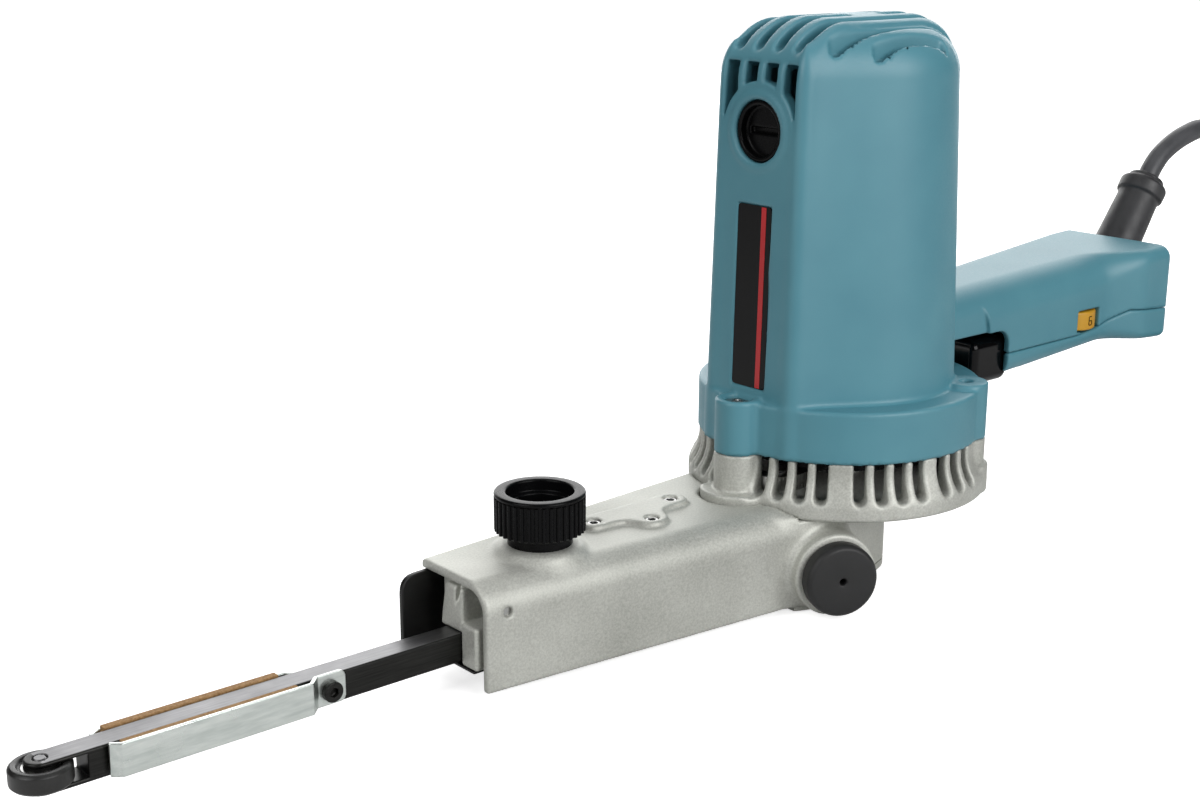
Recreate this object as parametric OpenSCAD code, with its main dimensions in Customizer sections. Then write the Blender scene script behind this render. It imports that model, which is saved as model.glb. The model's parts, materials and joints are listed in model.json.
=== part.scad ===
// Electric belt file: an upright motor on a cast gear housing, a belt arm in front and a handle behind.
// Millimetres, +Z up. The arm's tip points to -X and the handle to +X. The tool stands on Z = 0.

/* [Overall] */
// Length from the tip roller to the back of the handle
overall_length = 396; // [380:1:420]
// Distance from the motor axis to the back of the handle
handle_reach = 138; // [125:1:150]
// Height of the motor's flat top
motor_top = 163.5; // [155:0.5:170]

/* [Arm] */
// Outer radius of the tip roller
roller_radius = 7; // [6:0.1:8]
// Width of the arm bar
bar_width = 6; // [5:0.1:7]
// Height of the arm bar
bar_height = 8; // [7:0.1:9]
// Height of the bar's top face
bar_top = 15; // [14:0.1:16]
// Travel of the arm against its tension spring
arm_travel = 7; // [5:0.5:8]

/* [Drive] */
// Tooth size of both gears
gear_module = 1; // [0.8:0.1:1.2]
// Teeth on the motor pinion
pinion_teeth = 18; // [14:1:20]
// Teeth on the spindle gear
gear_teeth = 37; // [34:1:42]
// Outer radius of the drive pulley's tyre
pulley_radius = 19; // [17:0.5:20]

/* [Housing] */
// Half width of the arm housing at its open front
front_half = 13.5; // [12:0.5:15]
// Half width of the arm housing beside the pulley
rear_half = 22.5; // [20:0.5:24]
// Height of the arm housing's top face
housing_top = 30; // [28:0.5:32]
// Radius of the gear housing's lower rim
rim_radius = 44.3; // [42:0.1:46]
// Radius of the motor housing's lower ring
ring_radius = 41.7; // [40:0.1:44]

/* [Handle] */
// Half width of the grip
grip_half = 17; // [15:0.5:19]
// Half width of the flared rear end
tail_half = 22; // [20:0.5:24]
// Travel of the trigger
trigger_travel = 5; // [3:0.5:6]

/* [Cord] */
// Diameter of the mains cord
cord_diameter = 7; // [6:0.1:8]
// Turns in the stored coil
coil_turns = 8; // [6:2:10]

/* [Hidden] */
$fn = 48;
fit = 0.03;
gap = 0.4;

// Places along the tool, drawn from the handle's back face and centred on the origin at the end
back_x = 198;
motor_x = back_x - handle_reach;
tip_x = back_x - overall_length;
roller_x = tip_x + roller_radius;
gear_distance = gear_module * (pinion_teeth + gear_teeth) / 2;
spindle_x = motor_x - gear_distance;
front_x = motor_x - 141;
knob_x = motor_x - 113.5;
pivot = [motor_x - 134.5, 0, 22.2];

// Arm housing
wall = 2.2;
top_wall = 2.5;
shoulder = 8;
wall_low = 1.5;
tongue_low = housing_top - top_wall - 0.3;
case_radius = 25;
nose_radius = 15.3;
seat_z = 28;
flare_length = motor_x - 37 - front_x;
flare = atan((rear_half - front_half) / flare_length);
pad_top = housing_top + 1.5;
pad_holes = [[-31, 5], [-17, -3], [-2, 6]];
port_height = 11.8;
port_lean = 25;
port_root = [31, -23.3, port_height];
port_radius = 11.5;
port_bore = 8.4;
port_depth = 8.5;

// Bar, roller and shoes
bar_low = bar_top - bar_height;
bar_end = motor_x - 130;
bar_middle = bar_top - bar_height / 2;
roller_height = 5.6;
pin_radius = 1.5;
fork_slot = 6;
shoe_front = roller_x + 9;
shoe_back = shoe_front + 0.6436 * (front_x - shoe_front);
shoe_screw_x = shoe_back - 4;
shoe_gap = 3.5;
shoe_height = 8;
shoe_thickness = 1;
cork_front = shoe_front + 4;
cork_back = shoe_back - 13;

// Drive heights
pulley_low = 6;
pulley_high = 16;
web_low = 16.4;
web_high = 19.4;
low_bearing_high = 21.4;
gear_low = 22;
gear_high = 26.8;
hub_low = 28.5;
hub_high = 35.5;
shaft_radius = 4;

// Gear housing and motor housing
floor_high = 31;
ring_low = 43;
ring_high = 58;
band_half = 17.5;
band_front_low = 38.4;
band_front_high = 36.2;
band_foot = 56;
draft = atan((band_front_low - band_front_high) / (motor_top - band_foot));
body_top = motor_top - 3.5;
brush_z = motor_top - 30.5;
vent_top = motor_top - 12;
cavity_top = motor_top - 8.5;
bearing_low = motor_top - 16.5;
core_low = 70;
core_high = brush_z - 25;
winding_height = 9;
lug_step = 0.8;
boss_top = 61.5;
// Place of each boss from the motor axis, then the radii of the boss, its screw's head and its screw
boss_places = [[-42, 0, 6.5, 3.8, 2], [24.6, -28.9, 4.3, 2.2, 1.4], [24.6, 28.9, 4.3, 2.2, 1.4]];
slot_pitch = 8.2;
slot_groups = [[-168, 4], [-128.6, 4], [-92, 3]];
vent_rows = [-11, -3.7, 3.7, 11];

// Handle
handle_front = motor_x + 25;
seam = [[118, 58.8], [165, 59.3], [187, 62.4], [200, 61.4]];
handle_wall = 2.6;
dial_place = [160.3, -9.6];
dial_radius = 8.2;
dial_low = 60;
dial_high = 66.2;

// Cord guard and cord route, points chosen by hand
guard_root = [back_x, 6, 66.5];
guard_end = [223, 6, 101];
cord_route = [
    [223, 6, 101], [225.5, 6, 104.5], [230, 6, 108.5], [237, 6, 112], [245, 6, 114.5], [255, 6, 116],
    [267, 5, 114], [279, 4, 108], [290, 3, 98], [300, 1, 86], [308, -1, 72], [314, -4, 56],
    [318.5, -8.5, 40], [321.5, -14.5, 26], [323, -22, 16], [323, -30, 9.5], [322.2, -38, 6.2],
    [320.6, -45, 5.3]
];
coil_place = [275, -52];
coil_outer = 45;
coil_inner = 18;
coil_pitch = 7.6;
coil_low = 5.3;
tie_thickness = 1.2;
tie_width = 8;
tie_near = 11;
tie_far = 48.4;
plug_head = 12.4;
plug_lead = 7;
plug_rise = 10.4;

// Colours
teal = [0.31, 0.53, 0.59];
silver = [0.69, 0.7, 0.67];
steel = [0.6, 0.61, 0.62];
black = [0.09, 0.09, 0.1];
copper = [0.72, 0.42, 0.24];
brass = [0.75, 0.6, 0.3];

// Basic shapes
module post(r, low, high, x = 0, y = 0)
    translate([x, y, low]) cylinder(r = r, h = high - low);

module sleeve(outer, inner, low, high, x = 0, y = 0)
    difference() {
        post(outer, low, high, x, y);
        post(inner, low - 1, high + 1, x, y);
    }

module block(low, high) translate(low) cube(high - low);

// A rod along Y
module cross_rod(r, y0, y1, x, z)
    translate([x, y0, z]) rotate([-90, 0, 0]) cylinder(r = r, h = y1 - y0);

// A side profile, drawn in X and Z, given a width along Y
module across(y0, y1) translate([0, y1, 0]) rotate([90, 0, 0]) linear_extrude(y1 - y0) children();

// An end profile, drawn in Y and Z, given a length along X
module along(x0, x1) translate([x0, 0, 0]) rotate([90, 0, 90]) linear_extrude(x1 - x0) children();

module centred() translate([overall_length / 2 - back_x, 0, 0]) children();
module at_motor() translate([motor_x, 0, 0]) children();

function unit(v) = v / norm(v);
function xy(p) = [p[0], p[1]];

// Arc that rounds the corner p between a and b
function corner(a, p, b, r, steps) =
    let (u = unit(a - p), w = unit(b - p), half = acos(u * w) / 2)
    let (c = p + unit(u + w) * r / sin(half), s = p + u * r / tan(half) - c, e = p + w * r / tan(half) - c)
    let (from = atan2(s[1], s[0]), turn = (atan2(e[1], e[0]) - from + 540) % 360 - 180)
    [for (i = [0 : steps]) c + r * [cos(from + turn * i / steps), sin(from + turn * i / steps)]];

// Outline from points [x, y, corner radius]
function rounded(p, steps = 6) = [
    for (i = [0 : len(p) - 1])
    let (n = len(p), before = xy(p[(i + n - 1) % n]), after = xy(p[(i + 1) % n]))
    each p[i][2] > 0 ? corner(before, xy(p[i]), after, p[i][2], steps) : [xy(p[i])]
];

function mirrored(p) = concat(p, [for (i = [len(p) - 1 : -1 : 0]) [p[i][0], -p[i][1], p[i][2]]]);

// Tube swept along points
function ring_at(points, i, r, sides) =
    let (n = len(points) - 1, ahead = points[min(i + 1, n)], behind = points[max(i - 1, 0)])
    let (t = unit(ahead - behind), s = unit(cross(t, [0, 0, 1])), u = cross(s, t))
    [for (k = [0 : sides - 1]) points[i] + r * (cos(360 * k / sides) * s + sin(360 * k / sides) * u)];

module tube(points, r, sides) {
    rings = [for (i = [0 : len(points) - 1]) each ring_at(points, i, r, sides)];
    last = len(points) - 1;
    near_end = [for (k = [1 : sides - 2]) [0, k, k + 1]];
    far_end = [for (k = [1 : sides - 2]) [last * sides, last * sides + k + 1, last * sides + k]];
    skin = [
        for (i = [0 : last - 1], k = [0 : sides - 1])
        let (a = i * sides + k, b = i * sides + (k + 1) % sides)
        each [[a, a + sides, b], [b, a + sides, b + sides]]
    ];
    polyhedron(points = rings, faces = concat(near_end, far_end, skin));
}

// Spur gear with straight-flanked teeth
module gear_outline(teeth, turn) {
    pitch = gear_module * teeth / 2;
    root = pitch - 1.15 * gear_module;
    tip = pitch + 0.85 * gear_module;
    circle(r = root);
    for (i = [0 : teeth - 1])
        rotate(turn + 360 * i / teeth)
            polygon([
                [root - 0.3, -1.05 * gear_module], [root, -0.98 * gear_module], [tip, -0.36 * gear_module],
                [tip, 0.36 * gear_module], [root, 0.98 * gear_module], [root - 0.3, 1.05 * gear_module]
            ]);
}

// Arm housing: a channel open below and on its far side, and the gear case behind it
module flared(side) translate([front_x, side * front_half, 0]) rotate([0, 0, side * flare]) children();

module near_wall_profile()
    polygon(rounded([
        [0, wall_low, 0], [0, housing_top, shoulder], [shoulder + 3, housing_top, 0],
        [shoulder + 3, tongue_low, 0], [wall, tongue_low, shoulder - top_wall],
        [wall, wall_low, 0]
    ], 10));

// Outline round the pulley axis and the motor axis, joined by straight sides
function arc(x, r, from, to, steps = 40) =
    [for (i = [0 : steps]) let (t = from + (to - from) * i / steps) [x + r * cos(t), r * sin(t)]];

module case_outline(case_r, nose_r) {
    lean = acos((case_r - nose_r) / gear_distance);
    polygon(concat(arc(spindle_x, case_r, lean, 360 - lean), arc(motor_x, nose_r, -lean, lean, 20)));
}

// Half width of the channel at x, measured to its outer side
function half_at(x) = front_half + (x - front_x) * tan(flare);

module top_plate() {
    back = spindle_x - 4;
    translate([0, 0, housing_top - top_wall]) linear_extrude(top_wall) polygon([
        [front_x, -half_at(front_x) + shoulder], [back, -half_at(back) + shoulder],
        [back, half_at(back)], [front_x, half_at(front_x)]
    ]);
    flared(1) translate([0, 0, housing_top - top_wall / 2]) rotate([0, 90, 0])
        cylinder(r = top_wall / 2 - 0.05, h = flare_length);
}

module raised_pad() {
    translate([0, 0, housing_top - 0.5]) linear_extrude(pad_top - housing_top + 0.5) polygon(rounded([
        [-36, 12, 2], [-36, 1, 3], [-23, 0, 2], [-22, -7, 3], [-12, -7, 3], [-10, 1, 2], [3, 2, 3], [3, 12, 2]
    ]));
}

// Things on the side port's axis, which points out of the near side and a little forward
module at_port() translate(port_root) rotate([90, 0, -port_lean]) children();

module clear_of_gear_housing() {
    at_motor() {
        post(rim_radius + gap, seat_z, housing_top + 10);
        for (p = boss_places) post(p[2] + lug_step + gap, seat_z, housing_top + 10, p[0], p[1]);
    }
}

module belt_space() {
    inner_front = front_half - wall;
    inner_rear = half_at(spindle_x) - wall - 1;
    translate([0, 0, -1]) linear_extrude(web_low + 1) {
        polygon([
            [front_x - 1, -inner_front], [spindle_x, -inner_rear],
            [spindle_x, inner_rear], [front_x - 1, inner_front]
        ]);
        translate([spindle_x, 0]) circle(r = inner_rear);
    }
}

module arm_housing() color(silver) difference() {
    union() {
        intersection() {
            flared(-1) along(-2, flare_length + 4) near_wall_profile();
            block([front_x, -40, 0], [spindle_x + 2, 0, housing_top]);
        }
        intersection() {
            top_plate();
            block([front_x, -40, 0], [spindle_x, 40, housing_top]);
        }
        raised_pad();
        difference() {
            translate([0, 0, 2]) linear_extrude(seat_z - 2) case_outline(case_radius, nose_radius);
            translate([0, 0, web_high]) linear_extrude(seat_z)
                case_outline(gear_teeth / 2 + 2.5, pinion_teeth / 2 + 2.6);
            belt_space();
        }
        post(11, web_low, low_bearing_high, spindle_x);
        at_port() post(port_radius, -2.5, port_depth);
        block([pivot[0] - 3.5, 6.2, 20], [pivot[0] + 3.5, 9.2, housing_top - 1]);
        post(6, housing_top - 3, housing_top + 0.6, knob_x);
    }
    clear_of_gear_housing();
    block([cover_front - gap, -40, -1], [motor_x + 40, 40, 2]);
    at_port() post(port_bore, -12, port_depth + 1);
    post(8, web_low - 1, low_bearing_high + 1, spindle_x);
    post(gear_teeth / 2 + 1.6, web_high, gear_high + 0.4, spindle_x);
    post(3 + fit, 20, 40, knob_x);
    cross_rod(pin_radius, -20, 9, pivot[0], pivot[2]);
    for (p = pad_holes) post(2, 20, 40, p[0], p[1]);
    for (p = cover_places) post(1.5, 0, 12, p[0], p[1]);
}

// Plate that closes the gear case below and is the tool's foot
cover_front = spindle_x - 12;
cover_places = [
    [motor_x + 8, 0],
    [spindle_x + 22.6 * cos(75), 22.6 * sin(75)],
    [spindle_x + 22.6 * cos(75), -22.6 * sin(75)]
];

module bottom_cover() color(silver) difference() {
    linear_extrude(2) case_outline(case_radius, nose_radius);
    block([spindle_x - 30, -40, -1], [cover_front, 40, 3]);
    for (p = cover_places) {
        post(1.5, -1, 3, p[0], p[1]);
        post(2.2, -1, 1, p[0], p[1]);
    }
}

module cover_screws() color(steel)
    for (p = cover_places) {
        post(1.5, 1, 10, p[0], p[1]);
        post(2.2, 0.2, 1, p[0], p[1]);
    }

// Gear housing: a slotted ring with a floor that carries two bearings
module exhaust_slots() {
    for (side = [-1, 1], g = slot_groups, i = [0 : g[1] - 1])
        rotate([0, 0, side * (g[0] + slot_pitch * i)]) {
            block([36.5, -1.7, 33.2], [50, 1.7, ring_low + 1]);
            translate([36.5, 0, 33.2]) rotate([0, 90, 0]) cylinder(r = 1.7, h = 14);
        }
}

module gear_housing() color(silver) difference() {
    union() {
        at_motor() {
            rotate_extrude() polygon([
                [0, seat_z], [rim_radius, seat_z], [rim_radius, 32.5], [ring_radius - 0.2, 36.5],
                [ring_radius - 0.2, ring_low], [38.5, ring_low], [38.5, 35], [36, floor_high], [0, floor_high]
            ]);
            for (p = boss_places) {
                post(p[2], seat_z, ring_low, p[0], p[1]);
                post(p[2] + lug_step, seat_z, 35, p[0], p[1]);
            }
            post(14, floor_high - 1, hub_high);
        }
        post(14, floor_high - 1, hub_high, spindle_x);
    }
    at_motor() {
        exhaust_slots();
        for (p = boss_places) post(p[4], seat_z - 1, ring_low + 1, p[0], p[1]);
    }
    for (x = [motor_x, spindle_x]) {
        post(11, hub_low, hub_high + 1, x);
        post(6, seat_z - 1, hub_high, x);
    }
}

module ball_bearing(outer, low, high, x) color(steel) difference() {
    sleeve(outer, shaft_radius + fit, low, high, x);
    for (z = [low - 0.5, high - 0.5]) sleeve(outer - 1.6, shaft_radius + 1.7, z, z + 1, x);
}

module lower_motor_bearing() ball_bearing(11, hub_low, hub_high, motor_x);
module upper_spindle_bearing() ball_bearing(11, hub_low, hub_high, spindle_x);
module lower_spindle_bearing() ball_bearing(8, web_low, low_bearing_high, spindle_x);
module upper_motor_bearing() ball_bearing(9.5, bearing_low, bearing_low + 6, motor_x);

// Motor housing: a round drafted body, a band that runs forward over it, and a lower ring
module round_body()
    rotate_extrude() polygon(rounded([
        [0, ring_low, 0], [ring_radius, ring_low, 0], [ring_radius - 0.4, ring_high, 1.5],
        [33.4, ring_high + 2, 2], [29.8, body_top, 13], [0, body_top, 0]
    ]));

// The band stands out flat in front and follows the round body behind
module band()
    intersection() {
        along(-60, 60) polygon(rounded([
            [-band_half, band_foot, 0], [-band_half + 1, motor_top, 3], [band_half - 1, motor_top, 3],
            [band_half, band_foot, 0]
        ]));
        union() {
            intersection() {
                across(-60, 60) polygon(rounded([
                    [-band_front_low, band_foot, 0], [-band_front_high, motor_top, 18],
                    [4, motor_top, 0], [4, band_foot, 0]
                ]));
                linear_extrude(motor_top + 10) polygon(rounded(mirrored([
                    [-band_front_low, -band_half, 5], [4, -band_half, 0]
                ])));
            }
            rotate_extrude() polygon(rounded([
                [0, band_foot, 0], [33.9, band_foot, 0],
                [30.3, motor_top - 0.15, 13], [0, motor_top - 0.15, 0]
            ]));
        }
    }

module motor_cavity() {
    rotate_extrude() polygon([
        [0, ring_low - 1], [38.5, ring_low - 1], [38.5, 49], [31.5, 49], [31.5, 57], [27, 60],
        [27, cavity_top - 11], [22, cavity_top], [0, cavity_top]
    ]);
    block([-34, -14, brush_z - 11], [20, 14, brush_z + 15]);
    block([19, -5.4, brush_z - 5], [29, 5.4, brush_z + 5]);
}

module motor_vents() {
    for (y = vent_rows) {
        for (x = [-36, 30]) block([x - 6, y - 2.3, vent_top - 13.5], [x + 6, y + 2.3, vent_top]);
        for (x = [-22, 21]) block([x - 13, y - 1.7, vent_top + 2.5], [x + 13, y + 1.7, motor_top + 1]);
    }
    for (side = [-1, 1], lift = [0, 1])
        block([-29 + 9 * lift, side * (20.6 + 4.6 * lift) - 1.2, body_top - 6 - 2.5 * lift],
              [14 - 4 * lift, side * (20.6 + 4.6 * lift) + 1.2, body_top + 1]);
}

// The brush seats, on the flat front and on the round back
function brush_out(side) = side < 0 ? -35 : 31;
function brush_rise(side) = side < 0 ? 2.5 : 1;
module at_brush(side) translate([brush_out(side), 0, brush_z]) rotate([0, 90 * side, 0]) children();

// Nameplate, leaning with the housing's draft
module label_shape()
    at_motor() translate([-band_front_low, 0, band_foot]) rotate([0, draft, 0])
        block([-0.5, -6.5, 5], [0.5, 6.5, motor_top - 106.5]);

module motor_housing() color(teal) difference() {
    union() {
        at_motor() {
            difference() {
                union() {
                    round_body();
                    band();
                    for (p = boss_places) post(p[2], ring_low, boss_top, p[0], p[1]);
                }
                motor_cavity();
                motor_vents();
            }
            for (side = [-1, 1]) at_brush(side) post(10.7, -2, brush_rise(side));
            sleeve(12.5, 9.5, bearing_low - 1, bearing_low + 10);
        }
    }
    at_motor() {
        for (side = [-1, 1]) at_brush(side) post(8.7, -3, 4);
        for (p = boss_places) {
            post(p[4] + 0.2, ring_low - 1, boss_top + 1, p[0], p[1]);
            post(p[3] + gap, 55, boss_top + 1, p[0], p[1]);
        }
    }
    label_shape();
}

module nameplate() color(black) label_shape();

module brush_caps() color(black) at_motor()
    for (side = [-1, 1]) at_brush(side) difference() {
        post(8.6, -2.5, 1);
        block([-1, -6, 0], [1, 6, 2]);
    }

module brush_holders() color(brass) at_motor()
    for (side = [0, 180]) rotate([0, 0, side]) difference() {
        block([12, -5, brush_z - 4.5], [28.2, 5, brush_z + 4.5]);
        block([11, -4.1, brush_z - 3.6], [29, 4.1, brush_z + 3.6]);
    }

module carbon_brushes() color(black) at_motor()
    for (side = [0, 180]) rotate([0, 0, side]) block([10.9, -4, brush_z - 3.5], [25, 4, brush_z + 3.5]);

module stator_core() color(steel) sleeve(26.9, 17.5, core_low, core_high, motor_x);

module field_coils() color(copper) {
    sleeve(25.5, 18.5, core_low - winding_height - 0.5, core_low, motor_x);
    sleeve(25.5, 18.5, core_high, core_high + winding_height, motor_x);
}

module fan_baffle() color(black) sleeve(31.4, 23, 49.2, 51.2, motor_x);

module housing_screws() color(steel) at_motor()
    for (p = boss_places) difference() {
        union() {
            post(p[4], 30, 55, p[0], p[1]);
            post(p[3], 55, 58.5, p[0], p[1]);
        }
        translate([p[0], p[1], 56.5]) cylinder(r = p[3] * 0.45, h = 3, $fn = 6);
    }

// Armature
module armature_shaft() color(steel) post(shaft_radius, gear_low - 0.2, cavity_top, motor_x);

module armature_core() color(steel) at_motor() difference() {
    sleeve(16.8, shaft_radius, core_low, core_high);
    for (i = [0 : 11]) rotate([0, 0, 30 * i]) block([10.5, -1.1, core_low - 1], [18, 1.1, core_high + 1]);
}

module armature_windings() color(copper) {
    sleeve(15.5, shaft_radius, core_low - winding_height, core_low, motor_x);
    sleeve(15.5, shaft_radius, core_high, core_high + winding_height, motor_x);
}

module commutator() color(copper) at_motor() difference() {
    sleeve(10.5, shaft_radius, brush_z - 11, brush_z + 10);
    for (i = [0 : 23]) rotate([0, 0, 15 * i]) block([9, -0.3, brush_z - 9], [12, 0.3, brush_z + 11]);
}

module cooling_fan() color(black) at_motor() {
    sleeve(9, shaft_radius, 38, 47.5);
    sleeve(30.5, shaft_radius + 2, 38, 39.6);
    for (i = [0 : 14]) rotate([0, 0, 24 * i]) translate([15, 0, 39]) rotate([0, 0, 25]) cube([14, 1.4, 8.5]);
}

// Half a tooth of turn puts the pinion in mesh with the gear
module pinion() color(steel) at_motor() translate([0, 0, gear_low]) linear_extrude(gear_high - gear_low)
    difference() {
        gear_outline(pinion_teeth, 0);
        circle(r = shaft_radius);
    }

module spindle() color(steel) post(shaft_radius, pulley_low - 2, hub_high, spindle_x);

module drive_gear() color(steel) translate([spindle_x, 0, gear_low]) linear_extrude(gear_high - gear_low)
    difference() {
        gear_outline(gear_teeth, 180 / gear_teeth);
        circle(r = shaft_radius);
        for (i = [0 : 5]) rotate(60 * i) translate([10.5, 0]) circle(r = 2.6);
    }

module pulley_hub() color(silver) difference() {
    sleeve(pulley_radius - 2.5, shaft_radius, pulley_low, pulley_high, spindle_x);
    sleeve(pulley_radius - 5, 7, pulley_low - 1, pulley_low + 3, spindle_x);
}

module pulley_tyre() color(black)
    sleeve(pulley_radius, pulley_radius - 2.5, pulley_low, pulley_high, spindle_x);

module pad_screws() color(steel)
    for (p = pad_holes) difference() {
        post(2, 25, pad_top - 0.6, p[0], p[1]);
        translate([p[0], p[1], pad_top - 2]) cylinder(r = 1.1, h = 3, $fn = 6);
    }

// Black plate on the far side, with a flange under the housing's top
module belt_guard() color(black) difference() {
    union() {
        flared(1) across(-1.5, 0) polygon(rounded([
            [-5.5, 3, 2], [88, 3, 0], [88, housing_top - top_wall, 0], [-5.5, housing_top - top_wall, 5]
        ]));
        translate([0, 0, 25]) linear_extrude(housing_top - top_wall - 25) polygon([
            [-38, half_at(-38) - 1], [-38, 0], [-24, -8], [-10, -8], [4, -2], [4, half_at(4) - 1]
        ]);
    }
    for (p = pad_holes) post(2, 20, 30, p[0], p[1]);
}

module port_plug() color(black) at_port() difference() {
    union() {
        post(port_bore, 2, port_depth);
        post(10.5, port_depth, port_depth + 4.6);
        translate([0, 0, port_depth + 4.6]) cylinder(r1 = 10.5, r2 = 9.7, h = 0.8);
    }
    post(0.9, port_depth + 1, port_depth + 6);
    post(6, 1, port_depth - 2);
}

module pivot_pin() color(steel) cross_rod(pin_radius, -12.9, 8.8, pivot[0], pivot[2]);

// Tracking knob
module knob() color(black) translate([knob_x, 0, 0]) difference() {
    union() {
        post(11.4, 34, 46);
        post(8.5, housing_top + 1, 34.5);
        for (i = [0 : 35]) rotate([0, 0, 10 * i]) post(0.7, 34.4, 45, 11.2);
    }
    post(9.2, 40.5, 47);
    post(3, 29, 38);
}

module knob_stud() color(steel) post(3, 24.2, 38, knob_x);

// Block that holds the arm bar and tilts on the pivot pin
module arm_holder() color(silver) difference() {
    union() {
        block([front_x - 1, -10.2, bar_low - 0.05], [knob_x - 3, -bar_width / 2 - 0.05, 19]);
        block([front_x + 2, bar_width / 2 + 0.05, bar_low - 0.05], [knob_x - 3, 8, 19]);
        block([front_x - 1, -4.3, bar_top + 0.05], [knob_x - 4, 4.6, 26]);
        block([knob_x - 3, -8, bar_low - 0.05], [knob_x + 6, 8, 23]);
    }
    cross_rod(pin_radius + fit, -12, 12, pivot[0], pivot[2]);
    block([front_x - 2, -4.4, 21], [front_x + 1.2, -2.2, 27]);
}

module slide_plate() color(black) block([front_x - 1, -10.2, bar_low - 1.8], [knob_x + 6, 8, bar_low - 0.05]);

module tension_spring() color(steel) translate([0, 0, bar_middle]) rotate([0, 90, 0])
    sleeve(2.8, 2, bar_end, knob_x - 3);

// Arm bar with a fork at its tip
module arm_bar() color(steel) difference() {
    union() {
        block([roller_x, -bar_width / 2, bar_low], [bar_end, bar_width / 2, bar_top]);
        post(bar_width / 2, bar_low, bar_top, roller_x);
    }
    block([tip_x - 1, -10, bar_middle - fork_slot / 2],
          [roller_x + roller_radius + 1.6, 10, bar_middle + fork_slot / 2]);
    post(pin_radius, bar_low - 1, bar_top + 1, roller_x);
    cross_rod(1.5, -10, 10, shoe_screw_x, bar_middle);
}

module roller_pin() color(steel) post(pin_radius, bar_low, bar_top, roller_x);

module roller_hub() color(steel)
    sleeve(4.6, pin_radius + fit, bar_middle - roller_height / 2, bar_middle + roller_height / 2, roller_x);

module roller_tyre() color(black)
    sleeve(roller_radius, 4.6, bar_middle - roller_height / 2, bar_middle + roller_height / 2, roller_x);

// Wear shoe, bent from strip, and the cork pad behind it
module shoe(side) {
    inner = bar_width / 2;
    outer = inner + shoe_gap;
    t = shoe_thickness;
    mirror([0, side < 0 ? 1 : 0, 0]) difference() {
        translate([0, 0, bar_middle - shoe_height / 2 + 0.3]) linear_extrude(shoe_height) polygon([
            [shoe_front, inner + 1.4], [shoe_front + 2.6, outer + t], [shoe_back - 10, outer + t],
            [shoe_back - 7, inner + t], [shoe_back, inner + t], [shoe_back, inner], [shoe_back - 7.5, inner],
            [shoe_back - 10.5, outer], [shoe_front + 3.2, outer], [shoe_front + 0.9, inner + 0.9]
        ]);
        cross_rod(1.5, 0, 10, shoe_screw_x, bar_middle);
    }
}

module near_shoe() color(steel) shoe(-1);
module far_shoe() color(steel) shoe(1);

module cork(side) color([0.55, 0.36, 0.2]) mirror([0, side < 0 ? 1 : 0, 0])
    block([cork_front, bar_width / 2, bar_middle - 3.6],
          [cork_back, bar_width / 2 + shoe_gap, bar_middle + 3.8]);

module near_cork() cork(-1);
module far_cork() cork(1);

module shoe_screws() color(black)
    for (side = [0, 1]) mirror([0, side, 0]) difference() {
        union() {
            cross_rod(1.5, 0.4, bar_width / 2 + 1.2, shoe_screw_x, bar_middle);
            cross_rod(2.7, bar_width / 2 + shoe_thickness, bar_width / 2 + shoe_thickness + 1.9,
                      shoe_screw_x, bar_middle);
        }
        for (turn = [0, 90])
            translate([shoe_screw_x, bar_width / 2 + shoe_thickness + 2, bar_middle]) rotate([0, turn, 0])
                cube([3, 1.6, 0.7], center = true);
    }

// Handle: grip and flared tail, cut into two shells along the seam
module grip_form(t)
    intersection() {
        across(-60, 60) polygon(rounded([
            [handle_front, 79 - t, 0], [178, 83.2 - t, 0], [178, 54.8 + t, 0], [124, 51.5 + t, 5],
            [119 + t, 56, 2], [119 + t, 66 + t, 0], [handle_front, 66 + t, 0]
        ]));
        along(handle_front - 5, 200) polygon(rounded([
            [-grip_half + t, 50, 4], [-grip_half + t, 84 - t, 9],
            [grip_half - t, 84 - t, 9], [grip_half - t, 50, 4]
        ]));
        linear_extrude(120) polygon(rounded(mirrored([
            [handle_front, -13.5 + t, 0], [105, -13.5 + t, 5],
            [112, -grip_half + t, 5], [178, -grip_half + t, 0]
        ])));
    }

module tail_form(t)
    intersection() {
        across(-60, 60) polygon(rounded([
            [162, 82.4 - t, 0], [back_x - t, 83.8 - t, 3], [back_x - t, 53.6 + t, 4], [182, 53.6 + t, 5],
            [174, 54.6 + t, 0], [162, 53.9 + t, 0]
        ]));
        linear_extrude(120) polygon(rounded(mirrored([
            [162, -grip_half + 1 + t, 0], [170, -grip_half + t, 6],
            [187, -tail_half + t, 8], [back_x - t, -tail_half + t, 3]
        ])));
        along(150, 210) polygon(rounded([
            [-tail_half + t, 50, 0], [-tail_half + t, 84 - t, 6],
            [tail_half - t, 84 - t, 6], [tail_half - t, 50, 0]
        ]));
    }

module handle_form(t) {
    grip_form(t);
    tail_form(t);
}

module below_seam() across(-60, 60) polygon(concat(seam, [[200, 40], [118, 40]]));

// Points on the cord guard's axis, which leans up out of the handle's rear face
guard_length = norm(guard_end - guard_root);
guard_lean = 90 - atan2(guard_end[2] - guard_root[2], guard_end[0] - guard_root[0]);
module at_guard() translate(guard_root) rotate([0, guard_lean, 0]) children();

module handle_shell() difference() {
    handle_form(0);
    handle_form(handle_wall);
    at_motor() band();
    at_motor() round_body();
    at_guard() post(8.4, -8, 20);
    block([100, -9.6, 48], [140, 9.6, 66.5]);
}

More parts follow.
